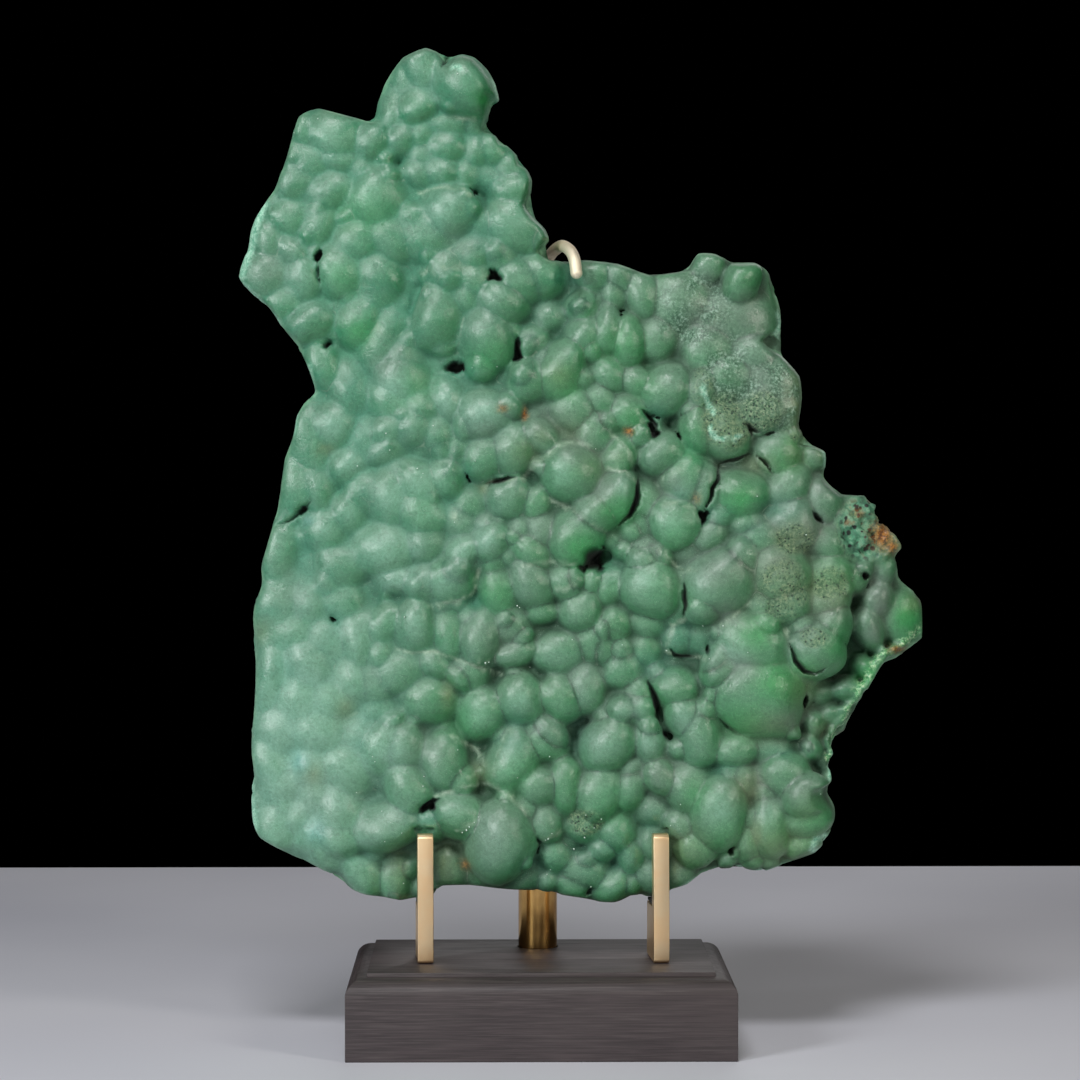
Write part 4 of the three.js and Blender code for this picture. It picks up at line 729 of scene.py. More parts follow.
def nearest_on(x, z, outline):
    """Nearest point of the outline, and how far away it is."""
    nearest, at_x, at_z = np.full(x.shape, 1e9), x.copy(), z.copy()
    for start, end in zip(outline, outline[1:] + outline[:1]):
        t, away = to_line(x, z, start, end)
        closer = away < nearest
        nearest = np.where(closer, away, nearest)
        at_x = np.where(closer, start[0] + t * (end[0] - start[0]), at_x)
        at_z = np.where(closer, start[1] + t * (end[1] - start[1]), at_z)
    return nearest, at_x, at_z


def swell_height(rows, x, z, least):
    height = np.full(x.shape, float(least))
    for *oval, top in rows:
        height = np.maximum(height, top * np.sqrt(np.clip(reach(x, z, *oval), 0, 1)))
    return height


def quarter_round(distance, width):
    """Rises in a quarter round from 0 at the rim to 1 at the width inside it."""
    inwards = np.clip(distance / width, 0, 1)
    return np.sqrt(1 - (1 - inwards) ** 2)


def quiet_side(x, z):
    """1 at the low, even left and top of the face, 0 at its boldly domed right and bottom."""
    return np.clip(0.5 - (x + 0.35 * (260 - z) + 20) / 90, 0, 1)


def bed_front(x, z):
    """Height of the ground between the lumps."""
    ground = swell_height(swells, x, z, 0) - GROUND_DROP + QUIET_RISE * quiet_side(x, z)
    return np.maximum(ground, PLATE_FRONT)


def wander(x, z):
    """Smooth offsets in millimetres that make the growth irregular."""
    chance = np.random.default_rng(21)
    offsets = [np.zeros(x.shape) for _ in range(3)]
    for axis in range(3):
        for _ in range(12):
            length = chance.uniform(13, 52)
            heading, phase = chance.uniform(0, 2 * np.pi, 2)
            across = x * np.cos(heading) + z * np.sin(heading)
            offsets[axis] += 0.011 * length * np.sin(2 * np.pi * across / length + phase)
    return offsets


def unwandered(x, z):
    """The place on the unwarped stone that a warped place came from."""
    from_x, from_z = x, z
    for _ in range(4):
        dx, _, dz = wander(from_x, from_z)
        from_x, from_z = x - dx, z - dz
    return from_x, from_z


def porosity(x, z):
    """Share of pitted, crumbly surface."""
    return np.maximum.reduce([np.clip(2.2 * reach(x, z, *oval), 0, 1) for oval in crumbly_ovals])


# Growing the stone


def stone_bed():
    """The slab under the lumps: cut to the outline, swollen at the front and rough at the back."""
    bed = outline_plate("bed", [(x, 0, z) for x, z in main_rim], (0, -PLATE_HALF, 0), (0, 2 * PLATE_HALF, 0))
    remesh(bed, PLATE_VOXEL)
    places = coordinates(bed)
    x, z = places[:, 0] / MM, places[:, 2] / MM
    front = bed_front(x, z)
    back = swell_height(back_humps, x, z, PLATE_BACK)
    share = np.clip(places[:, 1] / (PLATE_HALF * MM), -1, 1)
    places[:, 1] = np.where(share < 0, share * front, share * back) * MM
    move_vertices(bed, places)
    return bed


def lump_bodies():
    """Each lump's whole body: its centre, half width, depth and height. Neighbours cut into each other."""
    bodies = []

    def top_at(x, z):
        cx, cy, cz, half_width, half_depth, half_height = np.array(bodies).T
        inside = np.clip(reach(x, z, cx, cz, half_width, half_height), 0, 1)
        return np.max(np.where(inside > 0, half_depth * np.sqrt(inside) - cy, 0))

    for x, z, half_width, half_height, top in all_lumps:
        depth = LUMP_DEPTH * min(top, (half_width + half_height) / 2)
        growth = LUMP_GROWTH + QUIET_GROWTH * quiet_side(x, z)
        bodies.append((x, depth - top, z, growth * half_width, depth, growth * half_height))
    for x, z, radius, top in small_lumps:
        top = max(top, top_at(x, z) + 0.25 * radius)
        depth, width = LUMP_DEPTH * radius, SMALL_GROWTH * radius
        bodies.append((x, depth - top, z, width, depth, width))
    chance = np.random.default_rng(4)
    taken = [lump[:4] for lump in all_lumps] + [(x, z, radius, radius) for x, z, radius, _ in small_lumps]
    for _ in range(FILLER_TRIES):
        x, z = chance.uniform(-118, 128), chance.uniform(58, 395)
        size = chance.uniform(2.4, 4.6)
        if at_spot(from_main_rim, x, z) < size * 0.8:
            continue
        own = 0.45 * size
        if any(
            reach(x, z, cx, cz, 0.9 * width + own, 0.9 * height + own) > 0
            for cx, cz, width, height in taken
        ):
            continue
        ground = max(at_spot(bed_front, x, z), top_at(x, z))
        radius = FILLER_GROWTH * size
        bodies.append((x, 0.9 * size - ground, z, radius, radius, radius))
        taken.append((x, z, size, size))
    return bodies


grown_bodies = lump_bodies()


def flap_pieces():
    """The thin flap, its deep lumps and its crumbly lip."""
    rim = [(x, 0, z) for x, z in flap_rim]
    flap = outline_plate("flap", rim, (0, -FLAP_FRONT, 0), (0, FLAP_FRONT + FLAP_BACK, 0))
    bevel(flap, 2, 3, 50)
    pieces = [flap]
    for x, z, half_width, half_height, top in deep_lumps:
        half_depth = (top + FLAP_BACK - 2) / 2
        pieces.append(ball(x, half_depth - top, z, half_width, half_depth, half_height))
    chance = random.Random(11)
    for (x0, y0, z0), (x1, y1, z1) in zip(flap_lip, flap_lip[1:]):
        for step in range(8):
            t = step / 8
            size = chance.uniform(0.9, 1.7)
            x = x0 + t * (x1 - x0) + chance.uniform(-1.0, 0.5)
            y = y0 + t * (y1 - y0) + chance.uniform(0.5, 3.5)
            z = z0 + t * (z1 - z0) + chance.uniform(-0.8, 1.0)
            pieces.append(ball(x, y, z, size, chance.uniform(2.4, 3.6), size))
    return pieces


def matrix_rocks():
    """Spongy, crumbly matrix chunk at the right edge."""
    chance = random.Random(5)
    rocks = []
    while len(rocks) < MATRIX_ROCKS:
        x, z = chance.uniform(119, 143), chance.uniform(193, 218)
        if at_spot(from_main_rim, x, z) < 1.5:
            continue
        size = chance.uniform(1.3, 3)
        y = size * 0.5 - (9.5 - 0.16 * (x - 119)) + chance.uniform(-1, 1)
        rocks.append(ball(x, y, z, size, size, size * chance.uniform(0.7, 1.2)))
    return rocks


def warp_and_trim(stone):
    """Bends the growth a little, then draws what stands outside the outline back to it."""
    x, y, z = millimetres(stone)
    dx, dy, dz = wander(x, z)
    calm = np.clip((y + 2) / 6, 0, 1)
    x, z = x + dx * (1 - calm), z + dz * (1 - calm)
    y = y + 0.5 * dy * (y < -3)
    outside = (from_main_rim(x, z) < 0) & (from_flap_rim(x, z) < 0)
    to_main, main_x, main_z = nearest_on(x[outside], z[outside], main_rim)
    to_flap, flap_x, flap_z = nearest_on(x[outside], z[outside], flap_rim)
    x[outside] = np.where(to_main < to_flap, main_x, flap_x)
    z[outside] = np.where(to_main < to_flap, main_z, flap_z)
    move_vertices(stone, np.column_stack([x, y, z]) * MM)


def weigh(stone, name, weight):
    """Vertex group from a share per vertex, in quarter steps."""
    group = stone.vertex_groups.new(name=name)
    for level in np.linspace(0.25, 1, 4):
        chosen = np.nonzero(np.abs(weight - level) <= 0.125)[0]
        group.add([int(i) for i in chosen], float(level), "REPLACE")


def soften(stone):
    """Lets the low left side's lumps, and the broad frosted one, run into each other."""
    x, y, z = millimetres(stone)
    left = np.clip((-62 - x) / 12, 0, 1) * np.clip((215 - z) / 25, 0, 1)
    quiet = np.clip(1.3 * quiet_side(x, z) - 0.2, 0, 1)
    left = np.maximum(left, 0.5 * np.clip((250 - z) / 30, 0, 1) * quiet)
    broad = np.clip(1.6 * reach(x, z, *smooth_oval), 0, 1)
    weigh(stone, "soft", np.where(y < 0, np.maximum(left, broad), 0.1))
    apply_modifier(stone, "SMOOTH", factor=0.5, iterations=SOFTENING_ROUNDS, vertex_group="soft")


def lump_field(x, z):
    """How far the highest lump leads the next, how near its top the spot is, and that lump's own shade."""
    from_x, from_z = unwandered(x, z)
    chance = np.random.default_rng(8)
    first = bed_front(from_x, from_z)
    second, dome, shade = np.zeros(x.shape), np.zeros(x.shape), np.full(x.shape, 0.5)
    for cx, cy, cz, half_width, half_depth, half_height in grown_bodies:
        own = chance.uniform()
        out = -reach(from_x, from_z, cx, cz, half_width, half_height, 0)
        height = np.where(out < 1, half_depth * np.sqrt(np.clip(1 - out, 0, 1)) - cy, -99)
        leads = height > first
        second = np.where(leads, first, np.maximum(second, height))
        dome = np.where(leads, 1 - out * LUMP_GROWTH ** 2, dome)
        shade = np.where(leads, own, shade)
        first = np.maximum(first, height)
    return first - second, dome, shade


def sunk_depth(x, z):
    """How deep the pits and cracks reach, widest where lumps meet."""
    ragged_x = x + 0.45 * np.sin(0.9 * z + 0.4 * x)
    ragged_z = z + 0.45 * np.sin(0.8 * x + 2)
    nearby = np.full(x.shape, -9.0)
    for cx, cz, half_width, half_height in pits:
        nearby = np.maximum(nearby, reach(ragged_x, ragged_z, cx, cz, 1.5 * half_width, 1.5 * half_height))
    chosen = nearby > 0
    lead, _, _ = lump_field(x[chosen], z[chosen])
    crease = np.where(reach(x[chosen], z[chosen], *wide_pit) > 0, 9, 2.4)
    sunk = np.zeros(x.shape)
    sunk[chosen] = PIT_DEPTH * np.clip(1.7 * nearby[chosen] - lead / crease, 0, 1)
    for width, depth, points in cracks:
        whole = sum(math.dist(a, b) for a, b in zip(points, points[1:]))
        gone = 0.0
        for (x0, z0), (x1, z1) in zip(points, points[1:]):
            dx, dz = x1 - x0, z1 - z0
            length = math.hypot(dx, dz)
            t = np.clip(((x - x0) * dx + (z - z0) * dz) / length ** 2, 0, 1)
            off_x = ragged_x * 0.35 + x * 0.65 - x0 - t * dx
            off_z = ragged_z * 0.35 + z * 0.65 - z0 - t * dz
            taper = 0.25 + 0.75 * np.sin(np.pi * (gone + t * length) / whole)
            across = np.hypot(off_x, off_z) / (1.3 * width * taper)
            sunk = np.maximum(sunk, depth * taper * np.clip(1 - across ** 2, 0, 1))
            gone += length
    return sunk


def carve(stone):
    """Thins the rim, sinks the pits and cracks, and keeps the feet clear."""
    x, y, z = millimetres(stone)
    distance = from_main_rim(x, z)
    over_flap = np.clip((from_flap_rim(x, z) + 9) / 8, 0, 1)
    share = 1 - (1 - over_flap) * (1 - quarter_round(distance, RIM_WIDTH))
    _, uneven, _ = wander(1.8 * x, 1.8 * z)
    _, ragged, _ = wander(5 * x, 5 * z)
    back_limit = swell_height(back_humps, x, z, PLATE_BACK) - 2.5 + 0.8 * uneven + 0.45 * np.abs(ragged)
    y = np.where(y > RIM_BACK, np.minimum(y, np.maximum(back_limit, RIM_BACK + 2)), y)
    back = (y > RIM_BACK) & (distance < RIM_WIDTH)
    y = np.where(back, RIM_BACK + (y - RIM_BACK) * share, y)
    edge = EDGE_HEIGHT * quarter_round(distance, EDGE_ROUNDING)
    limit = RIM_FRONT + edge + 1.6 * np.maximum(distance, 0) + 40 * over_flap
    rounded_off = 1.2 * np.logaddexp(y / 1.2, -limit / 1.2)
    y = np.where((y < -RIM_FRONT) & (distance < 12), np.minimum(rounded_off, -RIM_FRONT), y)
    y = np.where(y < -1, np.minimum(y + sunk_depth(x, z), np.maximum(y, -1.0)), y)
    for foot_x in (LEFT_BRACKET_X, RIGHT_BRACKET_X):
        beside = np.abs(x - foot_x) < BAR_WIDTH / 2 + 1
        lean = PRONG_LEAN * (z - LEDGE_Z) / (BRACKET_TOP - LEDGE_Z)
        clear = BRACKET_FRONT + PRONG_THICKNESS + PAD_THICKNESS + 3 * FIT_GAP + lean + 0.3
        y = np.where((z < BRACKET_TOP + 2) & beside, np.maximum(y, clear), y)
        z = np.where(beside & (z < STONE_FOOT_Z), STONE_FOOT_Z, z)
    move_vertices(stone, np.column_stack([x, y, z]) * MM)


def texture(name, kind, scale, depth=2):
    made = bpy.data.textures.new(name, kind)
    made.noise_scale = scale * MM
    if kind == "CLOUDS":
        made.noise_depth = depth
        made.cloud_type = "COLOR"
    return made


def pore_depth(stone):
    """Opens the matrix into a sponge, sinks fine pores in the crumbly zones and roughens the back."""
    places = coordinates(stone)
    x, z = places[:, 0] / MM, places[:, 2] / MM
    weigh(stone, "matrix", np.clip(1.8 * reach(x, z, *matrix_oval), 0, 1))
    displace(stone, texture("sponge", "VORONOI", 3.4), 4.5, 0.62, group="matrix")
    weigh(stone, "crumbly", np.where(places[:, 1] > 2 * MM, 0.75, porosity(x, z)))
    displace(stone, texture("pores", "VORONOI", 2.6), 1.2, 0.45, group="crumbly")


def keep_in_box(stone):
    """Holds the stone inside its overall size."""
    move_vertices(stone, np.clip(coordinates(stone), np.array(LEAST_REACH) * MM, np.array(MOST_REACH) * MM))


def grow_stone():
    deselect()
    shells = [stone_bed()] + [ball(*body) for body in grown_bodies] + flap_pieces() + matrix_rocks()
    stone = join(shells, "malachite_stone")
    remesh(stone, GROWTH_VOXEL)
    warp_and_trim(stone)
    remesh(stone, TRIM_VOXEL)
    displace(stone, texture("dimpled skin", "CLOUDS", 5), 0.6, 0.5, "RGB_TO_XYZ")
    soften(stone)
    carve(stone)
    pore_depth(stone)
    keep_in_box(stone)
    stone.data.calc_loop_triangles()
    apply_modifier(stone, "DECIMATE", ratio=min(1, STONE_TRIANGLES / len(stone.data.loop_triangles)))
    activate(stone)
    bpy.ops.object.shade_smooth()
    return stone


# Tinting the stone


def surroundings(x, y, z, front, radii):
    """The face's mean height around each spot, over each radius in steps of the table."""
    left, bottom, step = -130.0, 40.0, 1.25
    columns, rows = int(290 / step), int(370 / step)
    i = np.clip(((x - left) / step).astype(int), 0, columns - 1)
    k = np.clip(((z - bottom) / step).astype(int), 0, rows - 1)
    highest = np.full(columns * rows, -1e9)
    np.maximum.at(highest, (i * rows + k)[front], -y[front])
    heights = highest.reshape(columns, rows)
    known = heights > -1e8
    for radius in radii:
        spread = np.exp(-0.5 * (np.arange(-3 * radius, 3 * radius + 1) / radius) ** 2)
        total, weight = np.where(known, heights, 0), known.astype(float)
        for axis in (0, 1):
            total = np.apply_along_axis(np.convolve, axis, total, spread, "same")
            weight = np.apply_along_axis(np.convolve, axis, weight, spread, "same")
        yield (total / np.maximum(weight, 1e-6))[i, k]


def strongest(shares):
    return np.maximum.reduce([np.clip(share, 0, 1) for share in shares])


def paint(stone):
    """Writes how far each spot stands above its surroundings, and the listed tints, as attributes."""
    x, y, z = millimetres(stone)
    front = y < FACE_DEPTH
    near, far = (np.where(front, -y - ground, 0) for ground in surroundings(x, y, z, front, (4, 11)))
    lead, dome, shade = lump_field(x, z)
    sunk = np.clip((sunk_depth(x, z) - 0.6) / 4, 0, 1)
    distance = np.maximum(from_main_rim(x, z), from_flap_rim(x, z) * 0.8)
    lip = from_run(x, z, [(px, pz) for px, _, pz in flap_lip]) / (1.1 + 0.5 * np.sin(0.9 * x + 1.3 * z))
    values = {
        "crest": np.clip(0.5 + near / 9, 0, 1),
        "hollow": np.clip(0.5 + far / 16, 0, 1),
        "seam": np.clip(lead / 3, 0, 1),
        "dome": np.clip(dome, 0, 1),
        "shade": shade,
        "crumbly_share": np.where(front, porosity(x, z), 0.5),
        "sunk": np.where(front, sunk, 0),
        "rim": np.clip(1 - np.abs(distance) / 1.6, 0, 1) * front,
        "back": np.clip((y - 2) / 3, 0, 1),
        "lip": np.clip(1.7 - lip, 0, 1) * front,
        "vein": strongest(1.25 - from_run(x, z, points) / 0.75 for points in pale_lines) * front,
        "frosted": strongest(1.3 * reach(x, z, *oval, 1.4) for oval in frosted_ovals) * front,
        "spongy": np.clip(2.2 * reach(x, z, *sponge_oval), 0, 1) * front,
        "broken": front * strongest(
            1.5 - from_run(x, z, points) / half_width for half_width, points in bright_edges
        ),
        "quiet": quiet_side(x, z),
    }
    for name, spots in tints.items():
        share = strongest(strength * np.exp(reach(x, z, *oval, 0)) for *oval, strength in spots)
        values[name] = share * front
    for name, value in values.items():
        written = stone.data.attributes.new(name, "FLOAT", "POINT")
        written.data.foreach_set("value", np.asarray(value, dtype=np.float32))


# Materials


def material_named(name):
    made = bpy.data.materials.new(name)
    made.use_nodes = True
    tree = made.node_tree
    tree.nodes.clear()
    output = tree.nodes.new("ShaderNodeOutputMaterial")
    shader = tree.nodes.new("ShaderNodeBsdfPrincipled")
    tree.links.new(shader.outputs["BSDF"], output.inputs["Surface"])
    return made, tree, shader


def fill_in(tree, node, inputs):
    """Links each input that another node makes, and sets each one that is a number or a colour."""
    for key, value in inputs.items():
        if isinstance(value, bpy.types.NodeSocket):
            tree.links.new(value, node.inputs[key])
        else:
            node.inputs[key].default_value = value


def add(tree, kind, inputs, **settings):
    node = tree.nodes.new(kind)
    for key, value in settings.items():
        setattr(node, key, value)
    fill_in(tree, node, inputs)
    return node


def object_coordinates(tree, scale=(1, 1, 1)):
    where = add(tree, "ShaderNodeTexCoord", {}).outputs["Object"]
    return add(tree, "ShaderNodeMapping", {"Vector": where, "Scale": scale}).outputs["Vector"]


def noise(tree, where, per_metre, detail=4, rough=0.55, distortion=0.0):
    return add(tree, "ShaderNodeTexNoise", {
        "Vector": where, "Scale": per_metre, "Detail": detail, "Roughness": rough, "Distortion": distortion,
    }).outputs["Fac"]


def ramp(tree, value, stops):
    node = add(tree, "ShaderNodeValToRGB", {"Fac": value})
    elements = node.color_ramp.elements
    while len(elements) < len(stops):
        elements.new(0.5)
    for element, (position, colour) in zip(elements, stops):
        element.position = position
        element.color = (*colour, 1)
    return node.outputs["Color"]


def fade(tree, value, start, end, first, last):
    """Grey that runs from the first level to the last one between two values."""
    return ramp(tree, value, [(start, (first,) * 3), (end, (last,) * 3)])


def mixed(tree, share, first, second, blend="MIX"):
    inputs = {0: share}
    for index, colour in ((6, first), (7, second)):
        inputs[index] = (*colour, 1) if isinstance(colour, tuple) else colour
    return add(tree, "ShaderNodeMix", inputs, data_type="RGBA", blend_type=blend).outputs[2]


def maths(tree, operation, *values, clamp=False):
    node = add(tree, "ShaderNodeMath", dict(enumerate(values)), operation=operation, use_clamp=clamp)
    return node.outputs[0]


def times(tree, first, second, clamp=False):
    return maths(tree, "MULTIPLY", first, second, clamp=clamp)


def plus(tree, first, second):
    return maths(tree, "ADD", first, second)


def vector(tree, operation, first, second):
    node = add(tree, "ShaderNodeVectorMath", {0: first, 1: second}, operation=operation)
    return node.outputs["Value" if operation == "DOT_PRODUCT" else "Vector"]


def bent(tree, where, amount):
    """Coordinates bent by a soft noise, for lines that aren't straight."""
    drift = add(tree, "ShaderNodeTexNoise", {"Vector": where, "Scale": 55.0, "Detail": 2.0}).outputs["Color"]
    centred = vector(tree, "SUBTRACT", drift, (0.5, 0.5, 0.5))
    return vector(tree, "ADD", where, vector(tree, "MULTIPLY", centred, (amount,) * 3))


def cells(tree, where, bend, per_metre):
    inputs = {"Vector": bent(tree, where, bend), "Scale": per_metre}
    return add(tree, "ShaderNodeTexVoronoi", inputs, feature="F1").outputs["Distance"]


def attribute(tree, name):
    return add(tree, "ShaderNodeAttribute", {}, attribute_name=name).outputs["Fac"]


def bump(tree, height, strength, distance):
    inputs = {"Height": height, "Strength": strength, "Distance": distance}
    return add(tree, "ShaderNodeBump", inputs).outputs["Normal"]


def malachite_material():
    """Velvety green with its dust, creases, tints, pores and broken edges, laid on as coats, with painted
    highlights on the domes and painted shade in creases, hollows, pores and pits.
    """
    made, tree, shader = material_named("velvety malachite")
    where = object_coordinates(tree)
    broad = noise(tree, where, 38, 3, 0.5, 0.6)
    middle = noise(tree, where, 160, 4, 0.6, 0.4)
    fine = noise(tree, where, 900, 5, 0.65)
    dust = noise(tree, where, 2600, 3, 0.6)
    mottle = noise(tree, where, 420, 3, 0.65, 1.2)
    quiet, crest, seam, dome, spongy = (
        attribute(tree, name) for name in ("quiet", "crest", "seam", "dome", "spongy")
    )
    faces = add(tree, "ShaderNodeTexCoord", {}).outputs["Normal"]
    upward = vector(tree, "DOT_PRODUCT", faces, (-0.45, -0.15, 0.88))
    shade_side = vector(tree, "DOT_PRODUCT", faces, (0.7, -0.15, -0.7))

    # Ground colour and each lump's own tone of it, then painted light: paler dome tops, greyer slopes facing
    # up and left, and painted shade on slopes facing down and right, in recesses, in hollows and along
    # creases
    ground = ramp(tree, broad, [
        (0.3, (0.062, 0.24, 0.12)), (0.5, (0.095, 0.27, 0.15)), (0.72, (0.07, 0.27, 0.145)),
    ])
    own_stops = [(0.0, (0.12, 0.215, 0.155)), (0.5, (0.08, 0.245, 0.125)), (1.0, (0.042, 0.24, 0.08))]
    own = ramp(tree, attribute(tree, "shade"), own_stops)
    # Dark greens for painted shade, lighter on the quiet side
    recess_shade_green = mixed(tree, quiet, (0.014, 0.066, 0.03), (0.04, 0.20, 0.115))
    crease_shade_green = mixed(tree, quiet, (0.012, 0.06, 0.03), (0.035, 0.19, 0.11))
    crease_shade_stops = [(0.0, (0.9,) * 3), (0.14, (0.65,) * 3), (0.35, (0.25,) * 3), (0.9, (0,) * 3)]
    bold = maths(tree, "SUBTRACT", 1.0, times(tree, quiet, 0.45))
    coats = [
        (0.6, own),
        (times(tree, quiet, 0.6), (0.034, 0.24, 0.142)),
        (fade(tree, middle, 0.38, 0.7, 0, 0.35), (0.13, 0.285, 0.19)),
        # Paler dome tops: partly the stone's own paler tops, partly painted highlight
        (fade(tree, dome, 0.35, 1.0, 0, 0.24), (0.20, 0.38, 0.245)),
        # Painted sheen: slopes facing up and left made greyer, in patches
        (
            times(tree, fade(tree, upward, 0.15, 0.75, 0, 0.6), fade(tree, broad, 0.35, 0.6, 0.5, 1)),
            (0.165, 0.26, 0.19),
        ),
        # Painted shade: slopes facing down and right made darker and more vivid green
        (fade(tree, shade_side, 0.1, 0.7, 0, 0.7), (0.028, 0.20, 0.062)),
        # Painted shade: low spots and broad hollows made dark green
        (fade(tree, crest, 0.2, 0.5, 0.9, 0), recess_shade_green),
        (fade(tree, attribute(tree, "hollow"), 0.15, 0.45, 0.6, 0), recess_shade_green),
        # Painted shade: dark lines along the creases where lumps meet, weaker on the quiet side
        (times(tree, ramp(tree, seam, crease_shade_stops), bold), crease_shade_green),
    ]

    # Listed tints
    uneven = maths(tree, "MULTIPLY_ADD", middle, 0.9, 0.55)
    for name, colour, most in (
        ("green", (0.032, 0.32, 0.08), 0.85),
        ("mauve", (0.145, 0.19, 0.155), 0.8),
        ("teal", (0.035, 0.235, 0.15), 0.5),
        # Pale: partly painted highlight
        ("pale", (0.33, 0.58, 0.46), 0.48),
        # Warm: partly painted warm highlight
        ("warm", (0.20, 0.24, 0.11), 0.55),
        ("turquoise", (0.09, 0.36, 0.33), 0.5),
    ):
        share = times(tree, attribute(tree, name), uneven, True)
        coats.append((times(tree, share, most, True), colour))

    # Worn crease lines, pale lines, and pale specks on the domes that are painted sparkle highlights
    worn = fade(tree, noise(tree, where, 75, 3, 0.5), 0.5, 0.62, 0, 0.75)
    crease_line = times(tree, fade(tree, seam, 0.0, 0.16, 1, 0), worn)
    broken_up = fade(tree, noise(tree, where, 210, 3, 0.6), 0.36, 0.58, 0.2, 1)
    vein = times(tree, attribute(tree, "vein"), broken_up)
    dome_sparkle = times(tree, fade(tree, dust, 0.6, 0.7, 0, 0.4), fade(tree, dome, 0.3, 0.9, 0.25, 1))
    coats += [
        (times(tree, crease_line, 0.5), (0.36, 0.48, 0.35)),
        (times(tree, vein, 0.62), (0.38, 0.52, 0.38)),
        # Painted highlight: pale sparkle specks, strongest on the dome tops
        (dome_sparkle, (0.38, 0.54, 0.40)),
    ]

    # Frosted and crumbly skin with its pores, which get painted shade
    powder = ramp(tree, fine, [
        (0.38, (0.018, 0.075, 0.038)), (0.5, (0.075, 0.19, 0.11)), (0.62, (0.27, 0.43, 0.33)),
    ])
    patchy = fade(tree, noise(tree, where, 130, 3, 0.6), 0.4, 0.58, 0.15, 0.8)
    crumbly = times(tree, attribute(tree, "crumbly_share"), fade(tree, middle, 0.36, 0.55, 0.25, 1))
    crumbs = ramp(tree, fine, [
        (0.38, (0.045, 0.12, 0.06)), (0.5, (0.11, 0.20, 0.10)), (0.66, (0.28, 0.36, 0.20)),
    ])
    pore = plus(tree, cells(tree, where, 0.004, 620.0), times(tree, fine, 0.5))
    holes = times(tree, fade(tree, pore, 0.44, 0.58, 1, 0), crumbly)
    coats += [
        (times(tree, attribute(tree, "frosted"), patchy), powder),
        (times(tree, crumbly, 0.65), crumbs),
        # Painted shade: the pores made near black
        (times(tree, holes, 0.85), (0.008, 0.03, 0.02)),
    ]

    # Broken rims and edges, and the flap's lip
    rim = times(tree, attribute(tree, "rim"), fade(tree, noise(tree, where, 140, 3), 0.42, 0.6, 0.1, 1))
    mint = ramp(tree, fine, [(0.36, (0.16, 0.50, 0.33)), (0.6, (0.48, 0.80, 0.62))])
    lip = ramp(tree, fine, [
        (0.38, (0.03, 0.14, 0.05)), (0.5, (0.12, 0.44, 0.17)), (0.62, (0.50, 0.68, 0.42)),
    ])
    coats += [
        (times(tree, rim, 0.7), (0.30, 0.62, 0.38)),
        (times(tree, attribute(tree, "broken"), 0.85), mint),
        (times(tree, attribute(tree, "lip"), fade(tree, middle, 0.4, 0.52, 0.25, 1)), lip),
    ]

    # Spongy matrix with painted shade in its caves, rust, the earthy back, and painted shade near black in
    # the pits and cracks
    sponge_stops = [
        (0.36, (0.03, 0.13, 0.075)), (0.47, (0.07, 0.30, 0.17)), (0.56, (0.20, 0.42, 0.27)),
        (0.68, (0.24, 0.18, 0.09)),
    ]
    ochre = ramp(tree, fine, [
        (0.4, (0.10, 0.035, 0.006)), (0.5, (0.28, 0.105, 0.010)), (0.62, (0.46, 0.20, 0.03)),
    ])
    earth_stops = [
        (0.32, (0.04, 0.13, 0.075)), (0.46, (0.09, 0.16, 0.085)), (0.58, (0.15, 0.14, 0.075)),
        (0.72, (0.22, 0.165, 0.095)),
    ]
    cave_shade = times(tree, fade(tree, cells(tree, where, 0.006, 330.0), 0.26, 0.38, 1, 0), spongy)
    coats += [
        (times(tree, spongy, 0.85), ramp(tree, middle, sponge_stops)),
        # Painted shade: the matrix's caves made near black
        (cave_shade, (0.006, 0.014, 0.01)),
        (times(tree, attribute(tree, "rust"), 1.1, True), ochre),
        (attribute(tree, "back"), ramp(tree, middle, earth_stops)),
        # Painted shade: pits and cracks made near black
        (attribute(tree, "sunk"), (0.004, 0.011, 0.007)),
    ]
    colour = ground
    for share, coat in coats:
        colour = mixed(tree, share, colour, coat)

    # Fine dusting over everything
    speckle = plus(tree, times(tree, mottle, 0.45), times(tree, dust, 0.25))
    speckle = plus(tree, speckle, times(tree, fine, 0.3))
    dusting_stops = [(0.36, (0.72, 0.76, 0.74)), (0.5, (1.02, 1.03, 1.02)), (0.64, (1.32, 1.24, 1.26))]
    colour = mixed(tree, 1.0, colour, ramp(tree, speckle, dusting_stops), "MULTIPLY")

    dull = fade(tree, middle, 0.3, 0.7, 0.27, 0.42)
    dull = mixed(tree, fade(tree, crest, 0.25, 0.55, 1, 0), dull, (0.75,) * 3)
    grain = plus(tree, times(tree, fine, 0.5), times(tree, holes, -1.3))
    grain = plus(tree, grain, times(tree, dust, 0.25))
    grain = plus(tree, grain, times(tree, mottle, 0.8))
    fill_in(tree, shader, {
        "Base Color": colour,
        "Roughness": mixed(tree, crumbly, dull, (0.85,) * 3),
        "Sheen Weight": 0.06,
        "Sheen Roughness": 0.45,
        "Sheen Tint": (0.85, 0.80, 0.83, 1),
        "Specular IOR Level": 0.75,
        "Normal": bump(tree, grain, 0.35, 0.0006),
    })
    return made


